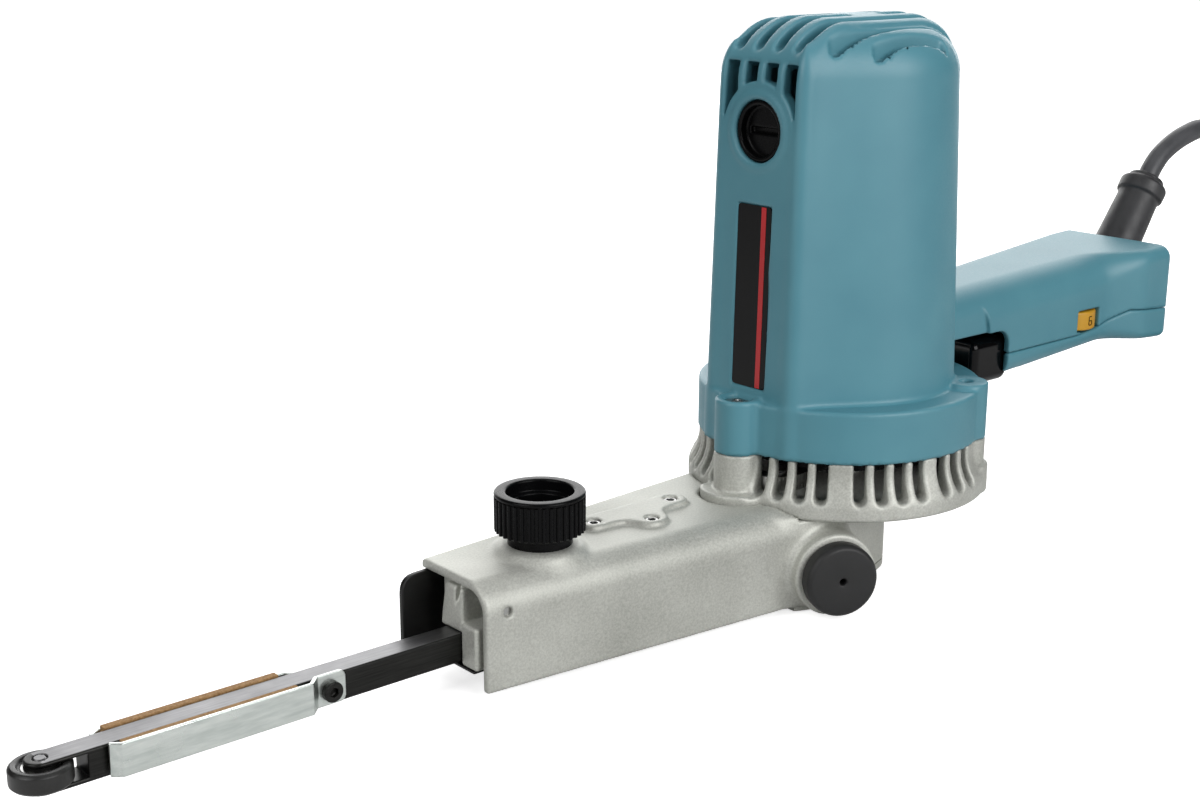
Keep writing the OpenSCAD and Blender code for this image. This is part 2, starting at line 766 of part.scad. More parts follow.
module handle_upper() color(teal) difference() {
    union() {
        handle_shell();
        intersection() {
            handle_form(0);
            for (p = handle_screw_places) post(3, 56, 84, p[0], p[1]);
        }
    }
    below_seam();
    block([154.6, -20, dial_low - 0.5], [166, -12, dial_high + 0.5]);
    post(dial_radius + gap, dial_low - 0.5, dial_high + 0.5, dial_place[0], dial_place[1]);
    for (p = handle_screw_places) post(1.5, 50, 74, p[0], p[1]);
}

module handle_lower() color(teal) difference() {
    intersection() {
        handle_shell();
        below_seam();
    }
    for (p = handle_screw_places) {
        post(1.5, 40, 64, p[0], p[1]);
        post(3, 40, p[2], p[0], p[1]);
    }
}

// Screw places, each with the height of its seat in the lower shell
handle_screw_places = [[143, -11, 54], [143, 11, 54], [183, -14.5, 55], [183, 14.5, 55]];

module handle_screws() color(steel)
    for (p = handle_screw_places) {
        post(1.5, p[2] - 1, 74, p[0], p[1]);
        post(2.9, p[2] - 1, p[2], p[0], p[1]);
    }

module switch_body() color(black) block([139.2, -7.5, 57], [151, 7.5, 78.5]);

module trigger_spring() color(steel)
    translate([0, 0, 62.5]) rotate([0, 90, 0]) sleeve(2.4, 1.7, 133.5, 139.2);

module speed_board() color([0.15, 0.4, 0.2]) difference() {
    block([152, handle_wall - grip_half, 68], [178, grip_half - handle_wall, 70]);
    post(2 + fit, 60, 80, dial_place[0], dial_place[1]);
}

module cord_clamp() color(black) block([176, -10, 57.5], [180, 10, 61.5]);

// Trigger with a hollowed finger face
module trigger() color(black) difference() {
    across(-9, 9) difference() {
        polygon(rounded([
            [104, 65.5, 1], [133.5, 65.5, 1], [133.5, 52, 3], [122, 49, 4], [112, 50, 2], [104, 60, 1]
        ]));
        translate([103, 50]) circle(r = 11);
    }
    block([124, -6.5, 52], [135, 6.5, 60]);
}

module speed_dial() color([0.9, 0.7, 0.15]) translate([dial_place[0], dial_place[1], 0]) difference() {
    union() {
        post(dial_radius, dial_low, dial_high);
        post(2, dial_high, 71);
    }
    for (i = [0 : 17]) rotate([0, 0, 20 * i]) post(0.35, dial_low - 1, dial_low + 1.2, dial_radius);
}

module cord_guard() color(black) at_guard() {
    post(8.3, -7, 0.5);
    translate([0, 0, 0.5]) cylinder(r1 = 8.3, r2 = 6.6, h = guard_length - 7.5);
    post(8, guard_length - 7.2, guard_length - 2.2);
    post(6.2, guard_length - 2.4, guard_length);
}

module cord() color(black) tube(cord_route, cord_diameter / 2, 10);

// Coil in two layers: in on the floor, up in half a turn and out again, then over the top to the plug
top_start = coil_turns + 0.5;
edge_radius = coil_outer + coil_pitch / 2;
function climb(s) = let (c = max(0, min(1, s))) c * c * (3 - 2 * c);
function coil_radius(t) = t < top_start
    ? coil_outer - coil_pitch * min(t, coil_turns - t)
    : edge_radius - (edge_radius - coil_inner) * climb(2 * (t - top_start));
function coil_height(t) = coil_low
    + coil_pitch * climb(2 * t - coil_turns + 0.5)
    + coil_pitch * climb(2 * (t - coil_turns))
    + plug_rise * climb(2 * (t - top_start));
function coil_point(t) = [
    coil_place[0] + coil_radius(t) * cos(360 * t),
    coil_place[1] - coil_radius(t) * sin(360 * t),
    coil_height(t)
];
coil_high = coil_low + coil_pitch;
coil_start = cord_route[len(cord_route) - 1];
coil_finish = coil_point(coil_turns + 1) - [0, plug_lead, 0];
coil_steps = 24 * (coil_turns + 1);
coil_points = concat([coil_start], [for (i = [0 : coil_steps]) coil_point(i / 24)], [coil_finish]);
coil_gap = min([
    for (i = [0 : coil_steps], j = [i + 12 : 1 : coil_steps]) norm(coil_point(i / 24) - coil_point(j / 24))
]) - cord_diameter;
echo(coil_least_gap = coil_gap);

module cord_coil() color(black) tube(coil_points, cord_diameter / 2, 6);

// Band round the coil's turns on its far side
module cable_tie() color(black) translate([coil_place[0] - tie_width / 2, coil_place[1], 0]) difference() {
    block([0, tie_near, 0.1], [tie_width, tie_far, coil_high + 5.2]);
    block([-1, tie_near + tie_thickness, 0.1 + tie_thickness],
          [tie_width + 1, tie_far - tie_thickness, coil_high + 5.2 - tie_thickness]);
}

// Two-pin plug, lying on the coil and pointing to -Y
module at_plug() translate(coil_finish) rotate([90, 0, 0]) children();

module plug_body() color(black) at_plug() {
    cylinder(r1 = 5, r2 = 8, h = 15);
    translate([0, 0, 14.5]) cylinder(r1 = 9.5, r2 = plug_head, h = 4);
    post(plug_head, 18.5, 36);
}

module plug_pins() color(steel) at_plug() for (side = [-1, 1]) post(2.4, 36, 55, side * 9.5);

centred() arm_housing();
centred() gear_housing();
centred() motor_housing();
centred() nameplate();
centred() brush_caps();
centred() brush_holders();
centred() carbon_brushes();
centred() stator_core();
centred() field_coils();
centred() fan_baffle();
centred() upper_motor_bearing();
centred() lower_motor_bearing();
centred() upper_spindle_bearing();
centred() lower_spindle_bearing();
centred() bottom_cover();
centred() cover_screws();
centred() housing_screws();
centred() pad_screws();
centred() belt_guard();
centred() port_plug();
centred() pivot_pin();
centred() armature_shaft();
centred() armature_core();
centred() armature_windings();
centred() commutator();
centred() cooling_fan();
centred() pinion();
centred() spindle();
centred() drive_gear();
centred() pulley_hub();
centred() pulley_tyre();
centred() knob();
centred() knob_stud();
centred() arm_holder();
centred() slide_plate();
centred() tension_spring();
centred() arm_bar();
centred() roller_pin();
centred() near_shoe();
centred() far_shoe();
centred() near_cork();
centred() far_cork();
centred() shoe_screws();
centred() roller_hub();
centred() roller_tyre();
centred() handle_upper();
centred() handle_lower();
centred() handle_screws();
centred() switch_body();
centred() trigger_spring();
centred() speed_board();
centred() cord_clamp();
centred() trigger();
centred() speed_dial();
centred() cord_guard();
centred() cord();
centred() cord_coil();
centred() cable_tie();
centred() plug_body();
centred() plug_pins();
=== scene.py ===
import json
import math

import bpy
import numpy as np
from mathutils import Matrix, Vector


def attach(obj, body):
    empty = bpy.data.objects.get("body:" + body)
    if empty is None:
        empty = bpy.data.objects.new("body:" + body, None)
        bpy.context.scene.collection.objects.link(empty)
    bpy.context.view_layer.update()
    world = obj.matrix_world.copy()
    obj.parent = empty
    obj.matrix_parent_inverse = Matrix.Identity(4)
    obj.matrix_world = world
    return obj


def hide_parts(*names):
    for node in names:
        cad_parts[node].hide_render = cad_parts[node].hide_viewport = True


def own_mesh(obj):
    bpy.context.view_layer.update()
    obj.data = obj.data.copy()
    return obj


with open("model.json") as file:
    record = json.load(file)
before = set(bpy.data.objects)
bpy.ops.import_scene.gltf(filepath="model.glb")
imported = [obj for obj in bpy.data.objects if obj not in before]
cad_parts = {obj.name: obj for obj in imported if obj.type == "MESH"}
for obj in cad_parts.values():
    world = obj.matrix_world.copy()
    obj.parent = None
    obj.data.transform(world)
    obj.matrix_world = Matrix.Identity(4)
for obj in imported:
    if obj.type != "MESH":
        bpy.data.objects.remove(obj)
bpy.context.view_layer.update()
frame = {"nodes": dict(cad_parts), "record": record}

MM = 0.001
MOTOR_X = 60.0
SPINDLE_X = 32.5
KNOB_X = -53.5
ROLLER_X = -191.0
BRUSH_Z = 133.0
PIVOT_X, PIVOT_Z = -74.5, 22.2
DIAL_X, DIAL_Y, DIAL_Z = 160.3, -9.6, 63.1
# Arm housing's channel: its front, its half width there and at the gear case, and the length between them
CHANNEL_FRONT, CHANNEL_HALF, CASE_HALF, CHANNEL_LENGTH = -81.0, 13.5, 22.5, 104.0
# Cord guard's root in the handle and its free end
GUARD_ROOT, GUARD_END = (198.0, 6.0, 66.5), (223.0, 6.0, 101.0)
# Place of each boss from the motor axis, then the radii of the boss and its screw's head;
# the height of its top; and how far the ledge of its lug stands out, and the ledge's height
BOSSES = [(-42.0, 0.0, 6.5, 3.8), (19.6, -31.6, 6.4, 1.5), (19.6, 31.6, 6.4, 1.5)]
BOSS_TOPS = (58.7, 59.6, 59.6)
LEDGES = [(3.7, 32.2), (1.2, 35.2), (1.2, 35.2)]
PAD_HOLES = [(-31.0, 5.0), (-17.0, -3.0), (-2.0, 6.0)]
VENT_ROWS = (-11.0, -3.7, 3.7, 11.0)
# Floors of the two slots in each shoulder of the motor housing, and their lines from the motor axis
SHOULDER_SLOTS = [(153.5, [(-26.5, 17.2), (-10, 18.9), (14, 19.2)]), (152.0, [(-16.0, 23.4), (7, 26.0)])]


# Materials


def linear(code):
    """sRGB hex to linear RGBA."""
    parts = [int(code[i : i + 2], 16) / 255 for i in (1, 3, 5)]
    return [c / 12.92 if c <= 0.04045 else ((c + 0.055) / 1.055) ** 2.4 for c in parts] + [1.0]


def add(tree, kind, settings=None, links=None):
    """Adds a node, sets its sockets or properties, and links its inputs."""
    node = tree.nodes.new(kind)
    for key, value in (settings or {}).items():
        if isinstance(key, str) and hasattr(node, key):
            setattr(node, key, value)
        else:
            node.inputs[key].default_value = value
    for key, source in (links or {}).items():
        tree.links.new(source, node.inputs[key])
    return node


def finish_base(name, **sockets):
    """A Principled material with object coordinates, ready for its pattern."""
    material = bpy.data.materials.new(name)
    material.use_nodes = True
    tree = material.node_tree
    tree.nodes.clear()
    shader = add(tree, "ShaderNodeBsdfPrincipled", {k.replace("_", " "): v for k, v in sockets.items()})
    add(tree, "ShaderNodeOutputMaterial", links={"Surface": shader.outputs[0]})
    where = add(tree, "ShaderNodeTexCoord").outputs["Object"]
    return material, tree, shader, where


def noise(tree, where, size_mm, detail=3.0, roughness=0.55, stretch=(1, 1, 1)):
    """Noise whose features are about size_mm across, drawn out along an axis where stretch is small."""
    mapped = add(tree, "ShaderNodeMapping", {"Scale": stretch}, {"Vector": where}).outputs[0]
    settings = {"Scale": 1 / (size_mm * MM), "Detail": detail, "Roughness": roughness}
    return add(tree, "ShaderNodeTexNoise", settings, {"Vector": mapped}).outputs["Fac"]


def spread(tree, value, low, high, start=0.3, end=0.7):
    """Maps a pattern between two numbers."""
    settings = {"From Min": start, "From Max": end, "To Min": low, "To Max": high}
    return add(tree, "ShaderNodeMapRange", settings, {"Value": value}).outputs[0]


def blend(tree, factor, dark, light):
    """Colour between two hex colours."""
    node = add(tree, "ShaderNodeMix", {"data_type": "RGBA"}, {0: factor})
    node.inputs[6].default_value = linear(dark)
    node.inputs[7].default_value = linear(light)
    return node.outputs[2]


def bump(tree, height, depth_mm, strength=1.0):
    """Surface relief of a pattern, depth_mm deep."""
    settings = {"Strength": strength, "Distance": depth_mm * MM}
    return add(tree, "ShaderNodeBump", settings, {"Height": height}).outputs[0]


def moulded_abs(name, dark, light, rough, grain_mm=0.5, grain_depth=0.012, shine=0.5):
    """ABS from a spark-etched mould: satin, with a fine even grain and soft cloudy patches."""
    material, tree, shader, where = finish_base(name, IOR=1.54, Specular_IOR_Level=shine)
    clouds = noise(tree, where, 22, 2)
    grain = noise(tree, where, grain_mm, 2)
    tree.links.new(blend(tree, spread(tree, clouds, 0, 1), dark, light), shader.inputs["Base Color"])
    tree.links.new(spread(tree, grain, rough - 0.05, rough + 0.06), shader.inputs["Roughness"])
    tree.links.new(bump(tree, grain, grain_depth), shader.inputs["Normal"])
    return material


def coated_casting(name):
    """Die casting under silver lacquer: bright flake that sparkles, over the casting's slight orange peel."""
    material, tree, shader, where = finish_base(name, Metallic=0.45)
    flake = spread(tree, noise(tree, where, 0.6, 2, 0.7), 0, 1, 0.35, 0.65)
    peel = noise(tree, where, 2.4, 2)
    clouds = noise(tree, where, 30, 2)
    mix = {0: flake, 2: spread(tree, clouds, 0, 0.5)}
    tone = add(tree, "ShaderNodeMath", {"operation": "MULTIPLY_ADD", 1: 0.5}, mix).outputs[0]
    tree.links.new(blend(tree, tone, "#a3a49d", "#d0d1ca"), shader.inputs["Base Color"])
    tree.links.new(spread(tree, flake, 0.46, 0.64, 0, 1), shader.inputs["Roughness"])
    tree.links.new(bump(tree, peel, 0.03, 0.6), shader.inputs["Normal"])
    return material


def drawn_metal(name, dark, light, rough, stretch=(0.04, 1, 1), metallic=1.0, line_mm=0.4):
    """Ground or drawn metal: fine lines along the work's length, with duller clouds."""
    material, tree, shader, where = finish_base(name, Metallic=metallic)
    lines = noise(tree, where, line_mm, 3, 0.6, stretch)
    clouds = noise(tree, where, 12, 3)
    tree.links.new(blend(tree, spread(tree, lines, 0, 1), dark, light), shader.inputs["Base Color"])
    tree.links.new(spread(tree, clouds, rough - 0.06, rough + 0.08), shader.inputs["Roughness"])
    tree.links.new(bump(tree, lines, 0.006), shader.inputs["Normal"])
    return material


def soft_rubber(name, dark, light, rough=0.62):
    """Moulded rubber: dull, a little dusty, with a fine skin."""
    material, tree, shader, where = finish_base(name, IOR=1.52)
    dust = noise(tree, where, 5, 4)
    skin_grain = noise(tree, where, 0.6, 2)
    tree.links.new(blend(tree, spread(tree, dust, 0, 1), dark, light), shader.inputs["Base Color"])
    tree.links.new(spread(tree, dust, rough - 0.08, rough + 0.08), shader.inputs["Roughness"])
    tree.links.new(bump(tree, skin_grain, 0.02), shader.inputs["Normal"])
    return material


def pressed_cork(name):
    """Cork sheet: brown granules about 1.5 mm across with darker joints and pits."""
    material, tree, shader, where = finish_base(name, Roughness=0.85)
    grain = add(tree, "ShaderNodeTexVoronoi", {"Scale": 1 / (1.4 * MM)}, {"Vector": where})
    speck = noise(tree, where, 0.7, 3)
    tree.links.new(blend(tree, spread(tree, speck, 0, 1), "#85643f", "#b08c60"), shader.inputs["Base Color"])
    tree.links.new(bump(tree, grain.outputs["Distance"], 0.15), shader.inputs["Normal"])
    return material


TEAL = moulded_abs("teal_moulded_abs", "#4e8897", "#558f9d", 0.44)
BLACK_ABS = moulded_abs("black_moulded_abs", "#060607", "#0a0a0b", 0.3, shine=0.1)
GLOSS_BLACK = moulded_abs("black_polished_abs", "#040405", "#070708", 0.16, 0.9, 0.003, 0.15)
YELLOW = moulded_abs("yellow_moulded_abs", "#c8921a", "#daa62c", 0.4)
RED_INK = moulded_abs("red_printed_line", "#b3141c", "#c81d24", 0.34)
SILVER = coated_casting("silver_lacquered_casting")
STEEL = drawn_metal("ground_steel", "#68686a", "#7a7a7b", 0.38)
TURNED_STEEL = drawn_metal("turned_steel", "#9a9a99", "#c2c2c0", 0.3, (1, 1, 0.05))
ZINC = drawn_metal("zinc_plated_sheet", "#c3cac6", "#dde2de", 0.3, (0.15, 1, 1), 1.0, 1.5)
BLACK_OXIDE = drawn_metal("blackened_steel", "#191918", "#2b2b29", 0.34, (0.04, 1, 1), 0.7)
BLACK_SHEET = drawn_metal("black_coated_sheet", "#060606", "#0b0b0b", 0.42, (0.3, 1, 1), 0.1, 1.2)
RUBBER = soft_rubber("black_moulded_rubber", "#0f0f10", "#161617", 0.5)
TYRE = soft_rubber("roller_rubber", "#131312", "#1b1b1a", 0.42)
CORD_JACKET = soft_rubber("grey_cord_jacket", "#3e3f42", "#4a4b4e", 0.5)
GUARD_RUBBER = soft_rubber("grey_guard_rubber", "#28282a", "#323234", 0.5)
CORK = pressed_cork("pressed_cork")
COPPER = drawn_metal("enamelled_copper", "#8f4a22", "#b96a38", 0.38, (1, 1, 0.1))
BRASS = drawn_metal("stamped_brass", "#a88340", "#c8a45c", 0.36)
CARBON = soft_rubber("pressed_carbon", "#111111", "#1a1a1a", 0.55)
BOARD = moulded_abs("green_circuit_board", "#1c4a2c", "#23583a", 0.35)

CAD_FINISH = {
    "teal_plastic": TEAL,
    "cast_silver": SILVER,
    "steel": TURNED_STEEL,
    "black_plastic": BLACK_ABS,
    "black_steel": BLACK_SHEET,
    "black_rubber": RUBBER,
    "cord_rubber": CORD_JACKET,
    "copper": COPPER,
    "brass": BRASS,
    "carbon": CARBON,
    "cork": CORK,
    "yellow_plastic": YELLOW,
    "board": BOARD,
    "chrome": STEEL,
}
for part in frame["record"]["subparts"]:
    node = frame["nodes"][part["node"]]
    node.data.materials.clear()
    node.data.materials.append(CAD_FINISH[part["material_slot"]])


# Camera, floor and light


def put(name, data):
    """New object in the scene."""
    thing = bpy.data.objects.new(name, data)
    bpy.context.scene.collection.objects.link(thing)
    return thing


def new_mesh(name, points, faces):
    """Mesh from points in millimetres."""
    mesh = bpy.data.meshes.new(name)
    mesh.from_pydata([tuple(p) for p in np.asarray(points, float) * MM], [], [tuple(f) for f in faces])
    return mesh


def set_camera():
    """The photograph's view: 40.2 degrees round, 15.7 degrees down, 52.8 mm lens."""
    turn, down, roll = (math.radians(v) for v in (40.2, 15.7, 0.13))
    right = Vector((math.cos(turn), -math.sin(turn), 0))
    up = Vector((math.sin(turn) * math.sin(down), math.cos(turn) * math.sin(down), math.cos(down)))
    ahead = Vector((math.sin(turn) * math.cos(down), math.cos(turn) * math.cos(down), -math.sin(down)))
    right, up = right * math.cos(roll) + up * math.sin(roll), up * math.cos(roll) - right * math.sin(roll)
    camera = put("photo_camera", bpy.data.cameras.new("photo_camera"))
    camera.data.lens = 52.8
    camera.data.sensor_width = 36
    camera.matrix_world = Matrix((right, up, -ahead)).transposed().to_4x4()
    camera.location = Vector((-321.2, -340.9, 190.9)) * MM
    bpy.context.scene.camera = camera


def set_floor():
    """Pale floor: white to the camera and in reflections, takes the shadow, and throws little light back."""
    reach = 8000
    corners = [(a * reach, b * reach, 0) for a, b in ((-1, -1), (1, -1), (1, 1), (-1, 1))]
    floor = put("floor", new_mesh("floor", corners, [(0, 1, 2, 3)]))
    floor.location.z = -0.0006
    material = bpy.data.materials.new("pale_floor")
    material.use_nodes = True
    tree = material.node_tree
    tree.nodes.clear()
    path = add(tree, "ShaderNodeLightPath").outputs
    where = add(tree, "ShaderNodeTexCoord").outputs["Object"]
    away = add(tree, "ShaderNodeVectorMath", {"operation": "LENGTH"}, {0: where}).outputs["Value"]
    lift = spread(tree, away, 0.72, 1.0, 0.5, 1.5)
    direct, mirrored = path["Is Camera Ray"], path["Is Glossy Ray"]
    lift = add(tree, "ShaderNodeMath", {"operation": "MULTIPLY"}, {0: lift, 1: direct}).outputs[0]
    seen = add(tree, "ShaderNodeMath", {"operation": "MAXIMUM"}, {0: direct, 1: mirrored}).outputs[0]
    tone = spread(tree, seen, 0.35, 0.86, 0, 1)
    plain = add(tree, "ShaderNodeBsdfDiffuse", None, {"Color": tone})
    glow = add(tree, "ShaderNodeEmission", None, {"Strength": lift})
    both = add(tree, "ShaderNodeAddShader", None, {0: plain.outputs[0], 1: glow.outputs[0]})
    add(tree, "ShaderNodeOutputMaterial", None, {"Surface": both.outputs[0]})
    floor.data.materials.append(material)


def softbox(name, place, aim, size, power):
    """Square-cornered area light at a place, turned to its aim; sizes in metres, power in watts."""
    data = bpy.data.lights.new(name, "AREA")
    data.shape = "RECTANGLE"
    data.size, data.size_y = size
    data.energy = power
    lamp = put(name, data)
    lamp.location = place
    lamp.rotation_euler = (Vector(aim) - Vector(place)).to_track_quat("-Z", "Y").to_euler()


def set_light():
    """Soft studio light: a wall of light behind, a broad key on the near side, weak boxes above and ahead."""
    world = bpy.data.worlds.new("studio")
    bpy.context.scene.world = world
    world.use_nodes = True
    back = world.node_tree.nodes["Background"]
    back.inputs["Color"].default_value = (1, 1, 1, 1)
    seen = add(world.node_tree, "ShaderNodeLightPath").outputs["Is Camera Ray"]
    world.node_tree.links.new(spread(world.node_tree, seen, 0.06, 1.0, 0, 1), back.inputs["Strength"])
    softbox("back_wall", (1.0, 1.15, 0.65), (0.04, 0, 0.08), (2.6, 1.4), 32)
    softbox("near_key", (0.12, -1.3, 0.65), (0.04, 0, 0.08), (1.0, 0.9), 15.5)
    softbox("overhead_box", (0.05, 0.1, 1.2), (0.03, 0, 0.05), (1.0, 0.8), 3)
    softbox("tip_fill", (-1.3, -0.1, 0.8), (0, 0, 0.05), (0.8, 0.8), 9)


bpy.context.scene.view_settings.view_transform = "Standard"
set_camera()
set_floor()
set_light()


# Mesh tools


def piece(name, points, faces, materials, body, replaces, smooth_angle=None, picks=None):
    """Makes a mesh piece from points in millimetres and ties it to the frame."""
    mesh = new_mesh(name, points, faces)
    for material in materials:
        mesh.materials.append(material)
    if picks is not None:
        mesh.polygons.foreach_set("material_index", picks)
    mesh.polygons.foreach_set("use_smooth", [True] * len(mesh.polygons))
    mesh.validate()
    if smooth_angle is not None:
        mesh.set_sharp_from_angle(angle=math.radians(smooth_angle))
    return tie(put(name, mesh), body, replaces)


def tie(thing, body, replaces):
    """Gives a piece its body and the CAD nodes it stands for."""
    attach(thing, body)
    if replaces:
        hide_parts(*replaces)
    return thing


def settle(thing):
    """Turns an object with modifiers into a plain mesh."""
    graph = bpy.context.evaluated_depsgraph_get()
    mesh = bpy.data.meshes.new_from_object(thing.evaluated_get(graph), depsgraph=graph)
    thing.modifiers.clear()
    thing.data = mesh
    return thing


def bevelled(thing, width, segments=3, angle=35):
    """Rounds a piece's edges, as a sheet or a machined block has them."""
    modifier = thing.modifiers.new("edges", "BEVEL")
    modifier.width = width * MM
    modifier.segments = segments
    modifier.limit_method = "ANGLE"
    modifier.angle_limit = math.radians(angle)
    modifier.harden_normals = True
    return settle(thing)


def prism(outline, low, high, axis="z"):
    """Points and faces of an outline given a thickness along an axis."""
    n = len(outline)
    order = {"z": (0, 1, 2), "y": (0, 2, 1), "x": (2, 0, 1)}[axis]
    points = [[(a, b, level)[i] for i in order] for level in (low, high) for a, b in outline]
    faces = [list(range(n))[::-1], list(range(n, 2 * n))]
    faces += [[i, (i + 1) % n, n + (i + 1) % n, n + i] for i in range(n)]
    area = sum(p[0] * q[1] - q[0] * p[1] for p, q in zip([outline[-1], *outline], outline))
    if (area < 0) != (axis == "y"):
        faces = [f[::-1] for f in faces]
    return np.array(points), faces


def lathe(profile, turns=64):
    """Points and faces of a profile (radius, height) turned about Z; it starts and ends on the axis."""
    rings = [p for p in profile if p[0] > 1e-6]
    angles = [2 * math.pi * k / turns for k in range(turns)]
    points = [(r * math.cos(a), r * math.sin(a), h) for r, h in rings for a in angles]
    faces = []
    for i in range(len(rings) - 1):
        for k in range(turns):
            n = (k + 1) % turns
            faces.append((i * turns + k, i * turns + n, (i + 1) * turns + n, (i + 1) * turns + k))
    last = (len(rings) - 1) * turns
    faces.append(tuple(range(turns))[::-1])
    faces.append(tuple(range(last, last + turns)))
    return np.array(points), faces


def placed(points, origin, axis):
    """Moves points that stand on Z so that they stand on an axis."""
    turn = np.array(Vector((0, 0, 1)).rotation_difference(Vector(axis)).to_matrix())
    return np.asarray(points) @ turn.T + np.array(origin)


def eased(profile, radius, steps=5):
    """Rounds the inner corners of a profile of (radius, height) points."""
    done = [profile[0]]
    for before, here, after in zip(profile, profile[1:], profile[2:]):
        a, p, b = (np.array(v, float) for v in (before, here, after))
        u, w = (a - p), (b - p)
        reach = min(radius, np.linalg.norm(u) * 0.45, np.linalg.norm(w) * 0.45)
        start, end = p + u / np.linalg.norm(u) * reach, p + w / np.linalg.norm(w) * reach
        for t in np.linspace(0, 1, steps):
            done.append(tuple((1 - t) ** 2 * start + 2 * t * (1 - t) * p + t * t * end))
    return done + [profile[-1]]


# Moulded and cast forms, written as distances to their surface


def round_cut(a, b, r):
    """Common part of two forms, its edge rounded by r."""
    return np.minimum(np.maximum(a, b), -r) + np.hypot(np.maximum(a + r, 0), np.maximum(b + r, 0))


def round_join(a, b, r):
    """Two forms in one, the inner corner filleted by r."""
    return np.maximum(np.minimum(a, b), r) - np.hypot(np.maximum(r - a, 0), np.maximum(r - b, 0))


def brick(x, y, z, centre, half, r=0.0):
    """Box with edges rounded by r."""
    far = [np.abs(v - c) - h + r for v, c, h in zip((x, y, z), centre, half)]
    outside = np.sqrt(sum(np.maximum(f, 0) ** 2 for f in far))
    return outside + np.minimum(np.maximum(np.maximum(far[0], far[1]), far[2]), 0) - r


def step(value, start, end):
    """Goes smoothly from 0 to 1."""
    t = np.clip((value - start) / (end - start), 0, 1)
    return t * t * (3 - 2 * t)


def line_distance(x, y, points):
    """Distance to a line of points."""
    best = np.inf
    for (ax, ay), (bx, by) in zip(points, points[1:]):
        ex, ey = bx - ax, by - ay
        t = np.clip(((x - ax) * ex + (y - ay) * ey) / (ex * ex + ey * ey), 0, 1)
        best = np.minimum(best, np.hypot(x - ax - t * ex, y - ay - t * ey))
    return best


def outline_distance(x, y, points):
    """Distance to a closed outline, negative inside."""
    loop = points + points[:1]
    inside = np.array(False)
    for (ax, ay), (bx, by) in zip(loop, loop[1:]):
        cross = ((ay > y) != (by > y)) & (x < (bx - ax) * (y - ay) / (by - ay if by != ay else 1e-9) + ax)
        inside = inside ^ cross
    return np.where(inside, -1, 1) * line_distance(x, y, loop)


CUBE_CORNERS = [(i, j, k) for i in (0, 1) for j in (0, 1) for k in (0, 1)]
CELLS_ROUND_EDGE = ((0, 0), (1, 0), (1, 1), (0, 1))


def skin(form, low, high, pitch):
    """Closed quads on the surface where a form's distance is zero: one point in each cell it crosses."""
    axes = [np.arange(a - pitch, b + 2 * pitch, pitch) for a, b in zip(low, high)]
    grid = np.meshgrid(*axes, indexing="ij", sparse=True)
    value = np.array(np.broadcast_to(form(*grid), [len(a) for a in axes]), dtype=np.float32)
    solid = value < 0
    size = [n - 1 for n in value.shape]
    count = np.zeros(size, np.int8)
    for i, j, k in CUBE_CORNERS:
        count += solid[i : i + size[0], j : j + size[1], k : k + size[2]]
    cells = np.argwhere((count > 0) & (count < 8))
    ids = np.full(size, -1, np.int32)
    ids[tuple(cells.T)] = np.arange(len(cells))
    total, hits = np.zeros((len(cells), 3)), np.zeros((len(cells), 1))
    for corner in CUBE_CORNERS:
        for axis in range(3):
            if corner[axis] == 0:
                a = cells + corner
                b = a + np.eye(3, dtype=int)[axis]
                va, vb = value[tuple(a.T)], value[tuple(b.T)]
                cross = (va < 0) != (vb < 0)
                t = np.where(cross, va / np.where(cross, va - vb, 1), 0)
                point = a.astype(float)
                point[:, axis] += t
                total += point * cross[:, None]
                hits += cross[:, None]
    points = np.array([a[0] for a in axes]) + pitch * total / hits
    quads = []
    for axis in range(3):
        one, two = np.eye(3, dtype=int)[(axis + 1) % 3], np.eye(3, dtype=int)[(axis + 2) % 3]
        lower, upper = (np.take(solid, range(s, size[axis] + s), axis) for s in (0, 1))
        edges = np.argwhere(lower != upper)
        edges = edges[np.all((edges - one - two >= 0) & (edges < size), axis=1)]
        around = np.stack([ids[tuple((edges - m * one - n * two).T)] for m, n in CELLS_ROUND_EDGE], 1)
        out = lower[tuple(edges.T)]
        quads.append(np.where(out[:, None], around, around[:, ::-1]))
    return pull(points, form, pitch), np.concatenate(quads)


def pull(points, form, pitch):
    """Draws the points on to the form's true surface."""
    h = 0.15 * pitch
    for _ in range(2):
        here = form(*points.T)
        slope = np.stack([form(*(points + d).T) - form(*(points - d).T) for d in np.eye(3) * h], 1) / (2 * h)
        move = (here / np.maximum((slope**2).sum(1), 0.25))[:, None] * slope
        points = points - np.clip(move, -0.4 * pitch, 0.4 * pitch)
    return points


def formed(name, form, low, high, pitch, material, body, replaces, slot):
    """A piece with a form's surface, found in a box with cells of one pitch."""
    points, quads = skin(form, low, high, pitch)
    return piece(name, points, quads, [material], body, replaces)


# Cord, its coil, tie and plug

CORD_ROUTE = [
    GUARD_END, (225.5, 6, 104.5), (230, 6, 108.5), (237, 6, 112), (245, 6, 114.5), (255, 6, 116),
    (267, 5, 114), (279, 4, 108), (290, 3, 98), (300, 1, 86), (308, -1, 72), (314, -4, 56), (318.5, -8.5, 40),
    (321.5, -14.5, 26), (323, -22, 16), (323, -30, 9.5), (322.2, -38, 6.2), (320.6, -45, 5.3),
]
CORD_DIAMETER = 7.0
COIL_CENTRE = (275.0, -52.0)
COIL_OUTER, COIL_INNER, COIL_PITCH, COIL_TURNS, COIL_LOW = 45.0, 18.0, 7.6, 8, 5.3
TOP_START = COIL_TURNS + 0.5
PLUG_LEAD, PLUG_RISE = 7.0, 10.4


